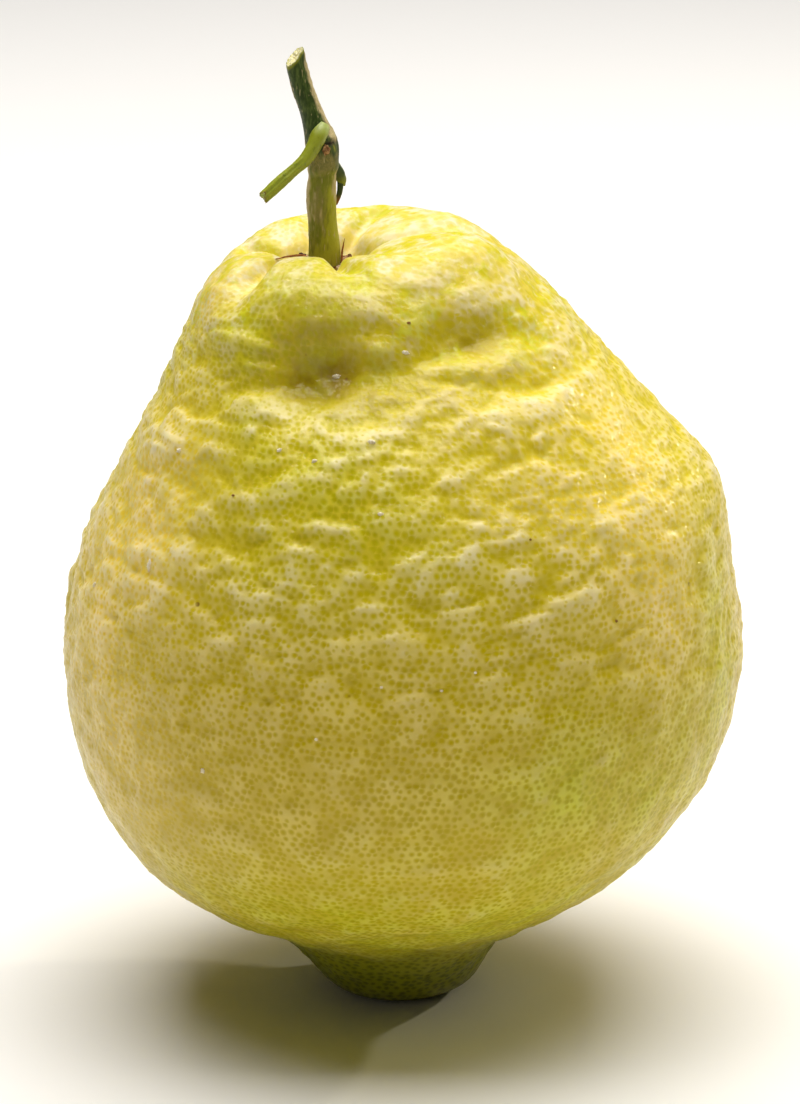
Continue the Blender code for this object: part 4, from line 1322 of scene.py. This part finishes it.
calyx = {
    "middle": (-11.4, -2, 121.3),
    "around": 240,
    "across": 26,
    "inner": 2.9,
    "waist": 3.9,
    "reach": 5.3,
    "lobes": 5,
    "turn": 30,
    "thickness": 0.7,
    "edge": 0.3,
    "gap": 0.45,
    "bendUp": 0.9,  # how far the edge bends up
    "curlIn": 0.9,  # how far it is drawn in, and how much higher it bends, where it curls up
    "curlUp": 0.6,
    "wrinkleOut": 0.5,
    "wrinkleUp": 0.35,
    "curlTurn": 9,  # half width in degrees of the place where the edge curls up
    # Curled dry shreds: path points x, y, z and radius
    "shreds": {
        "bristle": (
            (-8.75, -3.2, 122.2, 0.16), (-8.65, -3.05, 124, 0.15),
            (-8.45, -3, 125.4, 0.12), (-8.2, -3, 126.7, 0.04),
        ),
        "shredLeft": (
            (-13.6, -4.1, 122.4, 0.3), (-14.4, -4.6, 124, 0.3),
            (-16.4, -5.2, 124.3, 0.2), (-19, -6.4, 124.1, 0.06),
        ),
    },
    # Crumbs of dry tissue: middle and half sizes
    "crumbs": (
        (-14.9, -4.2, 123.9, 0.65, 0.55, 0.6), (-8.4, -6.2, 123, 0.5, 0.45, 0.45),
        (-7.9, -5.2, 123.3, 0.5, 0.45, 0.5), (-7.6, -6.8, 123.1, 0.45, 0.4, 0.4),
        (-9, -7, 122.8, 0.5, 0.5, 0.4), (-10.2, 1.9, 122.7, 0.6, 0.6, 0.4),
        (-13.9, 0.4, 122.6, 0.5, 0.6, 0.4),
    ),
}


# The collar: a ring whose section runs out over the top and back below. Its reach follows a
# five-pointed star, |cos(lobes * turn / 2)| to the power 1.6, and it bends up with the cube of how far
# out it is.
def makeCollar():
    around, across = calyx["around"], calyx["across"]
    section, turn = np.meshgrid(ringTurns(across), ringTurns(around), indexing="ij")
    outward = (1 - np.cos(section)) / 2
    off = np.radians(turnFrom(calyx["turn"], turn))
    point = np.abs(np.cos(calyx["lobes"] * off / 2)) ** 1.6
    curl = bell(np.degrees(off) / calyx["curlTurn"])
    flat = circle(turn)
    flat[..., 2] = outward
    wrinkle = noiseField(flat.reshape(-1, 3) * 7, seed=91).reshape(turn.shape)
    edge = calyx["waist"] + (calyx["reach"] - calyx["waist"]) * point - calyx["curlIn"] * curl
    edge += calyx["wrinkleOut"] * wrinkle * outward
    radius = calyx["inner"] + (edge - calyx["inner"]) * outward
    thickness = calyx["thickness"] + (calyx["edge"] - calyx["thickness"]) * outward
    height = thickness / 2 * (1 - np.sin(section)) + calyx["bendUp"] * outward**3
    height += calyx["curlUp"] * curl * outward**2 + calyx["wrinkleUp"] * wrinkle * outward
    points = radius[..., None] * circle(turn)
    points[..., 2] = height + calyx["gap"]
    points = (points + calyx["middle"]).reshape(-1, 3) * mm
    i, j = np.meshgrid(np.arange(across), np.arange(around), indexing="ij")
    k, m = (i + 1) % across, (j + 1) % around
    faces = np.stack([i * around + j, k * around + j, k * around + m, i * around + m], axis=2)
    mesh = bpy.data.meshes.new("calyxCollar")
    mesh.from_pydata(points, [], faces.reshape(-1, 4).tolist())
    dry = dryMaterial("dryCalyx", (176, 134, 86), (106, 68, 36))
    addPiece("calyxCollar", mesh, dry, "calyx")


# Shreds are thin rough tubes and crumbs are rough lumps, the first crumb dark and the others pale.
def makeCrumbs():
    dry = dryMaterial("dryShred", (176, 110, 46), (120, 66, 22))
    for name, path in calyx["shreds"].items():
        path = np.array(path)
        along, _, plain, across = tubeGrid(path, 16, 40)
        rough = noiseField(plain.reshape(-1, 3) / 0.5, seed=95).reshape(*along.shape, 1)
        skin = plain + 0.08 * rough * across
        addPiece(name, skinMesh(name, path[0, :3], skin, path[-1, :3]), dry, "calyx")
    light = dryMaterial("calyxCrumbs", (222, 202, 172), (168, 134, 104))
    brown = dryMaterial("calyxBrown", (84, 44, 26), (40, 22, 14))
    for number, (x, y, z, *size) in enumerate(calyx["crumbs"]):
        name = f"crumb{number + 1}"
        mesh = lumpMesh(name, (x, y, z), size, 101 + 3 * number)
        addPiece(name, mesh, light if number else brown, "calyx")


makeCamera()
makeBackdrop()
makeLight()
print("stage ready")
makeScurf(makeRind())
print("rind done")
makeTwig()
makeSideStalk()
makeSpur()
makeBud()
print("twig done")
makeCollar()
makeCrumbs()
print("calyx done")
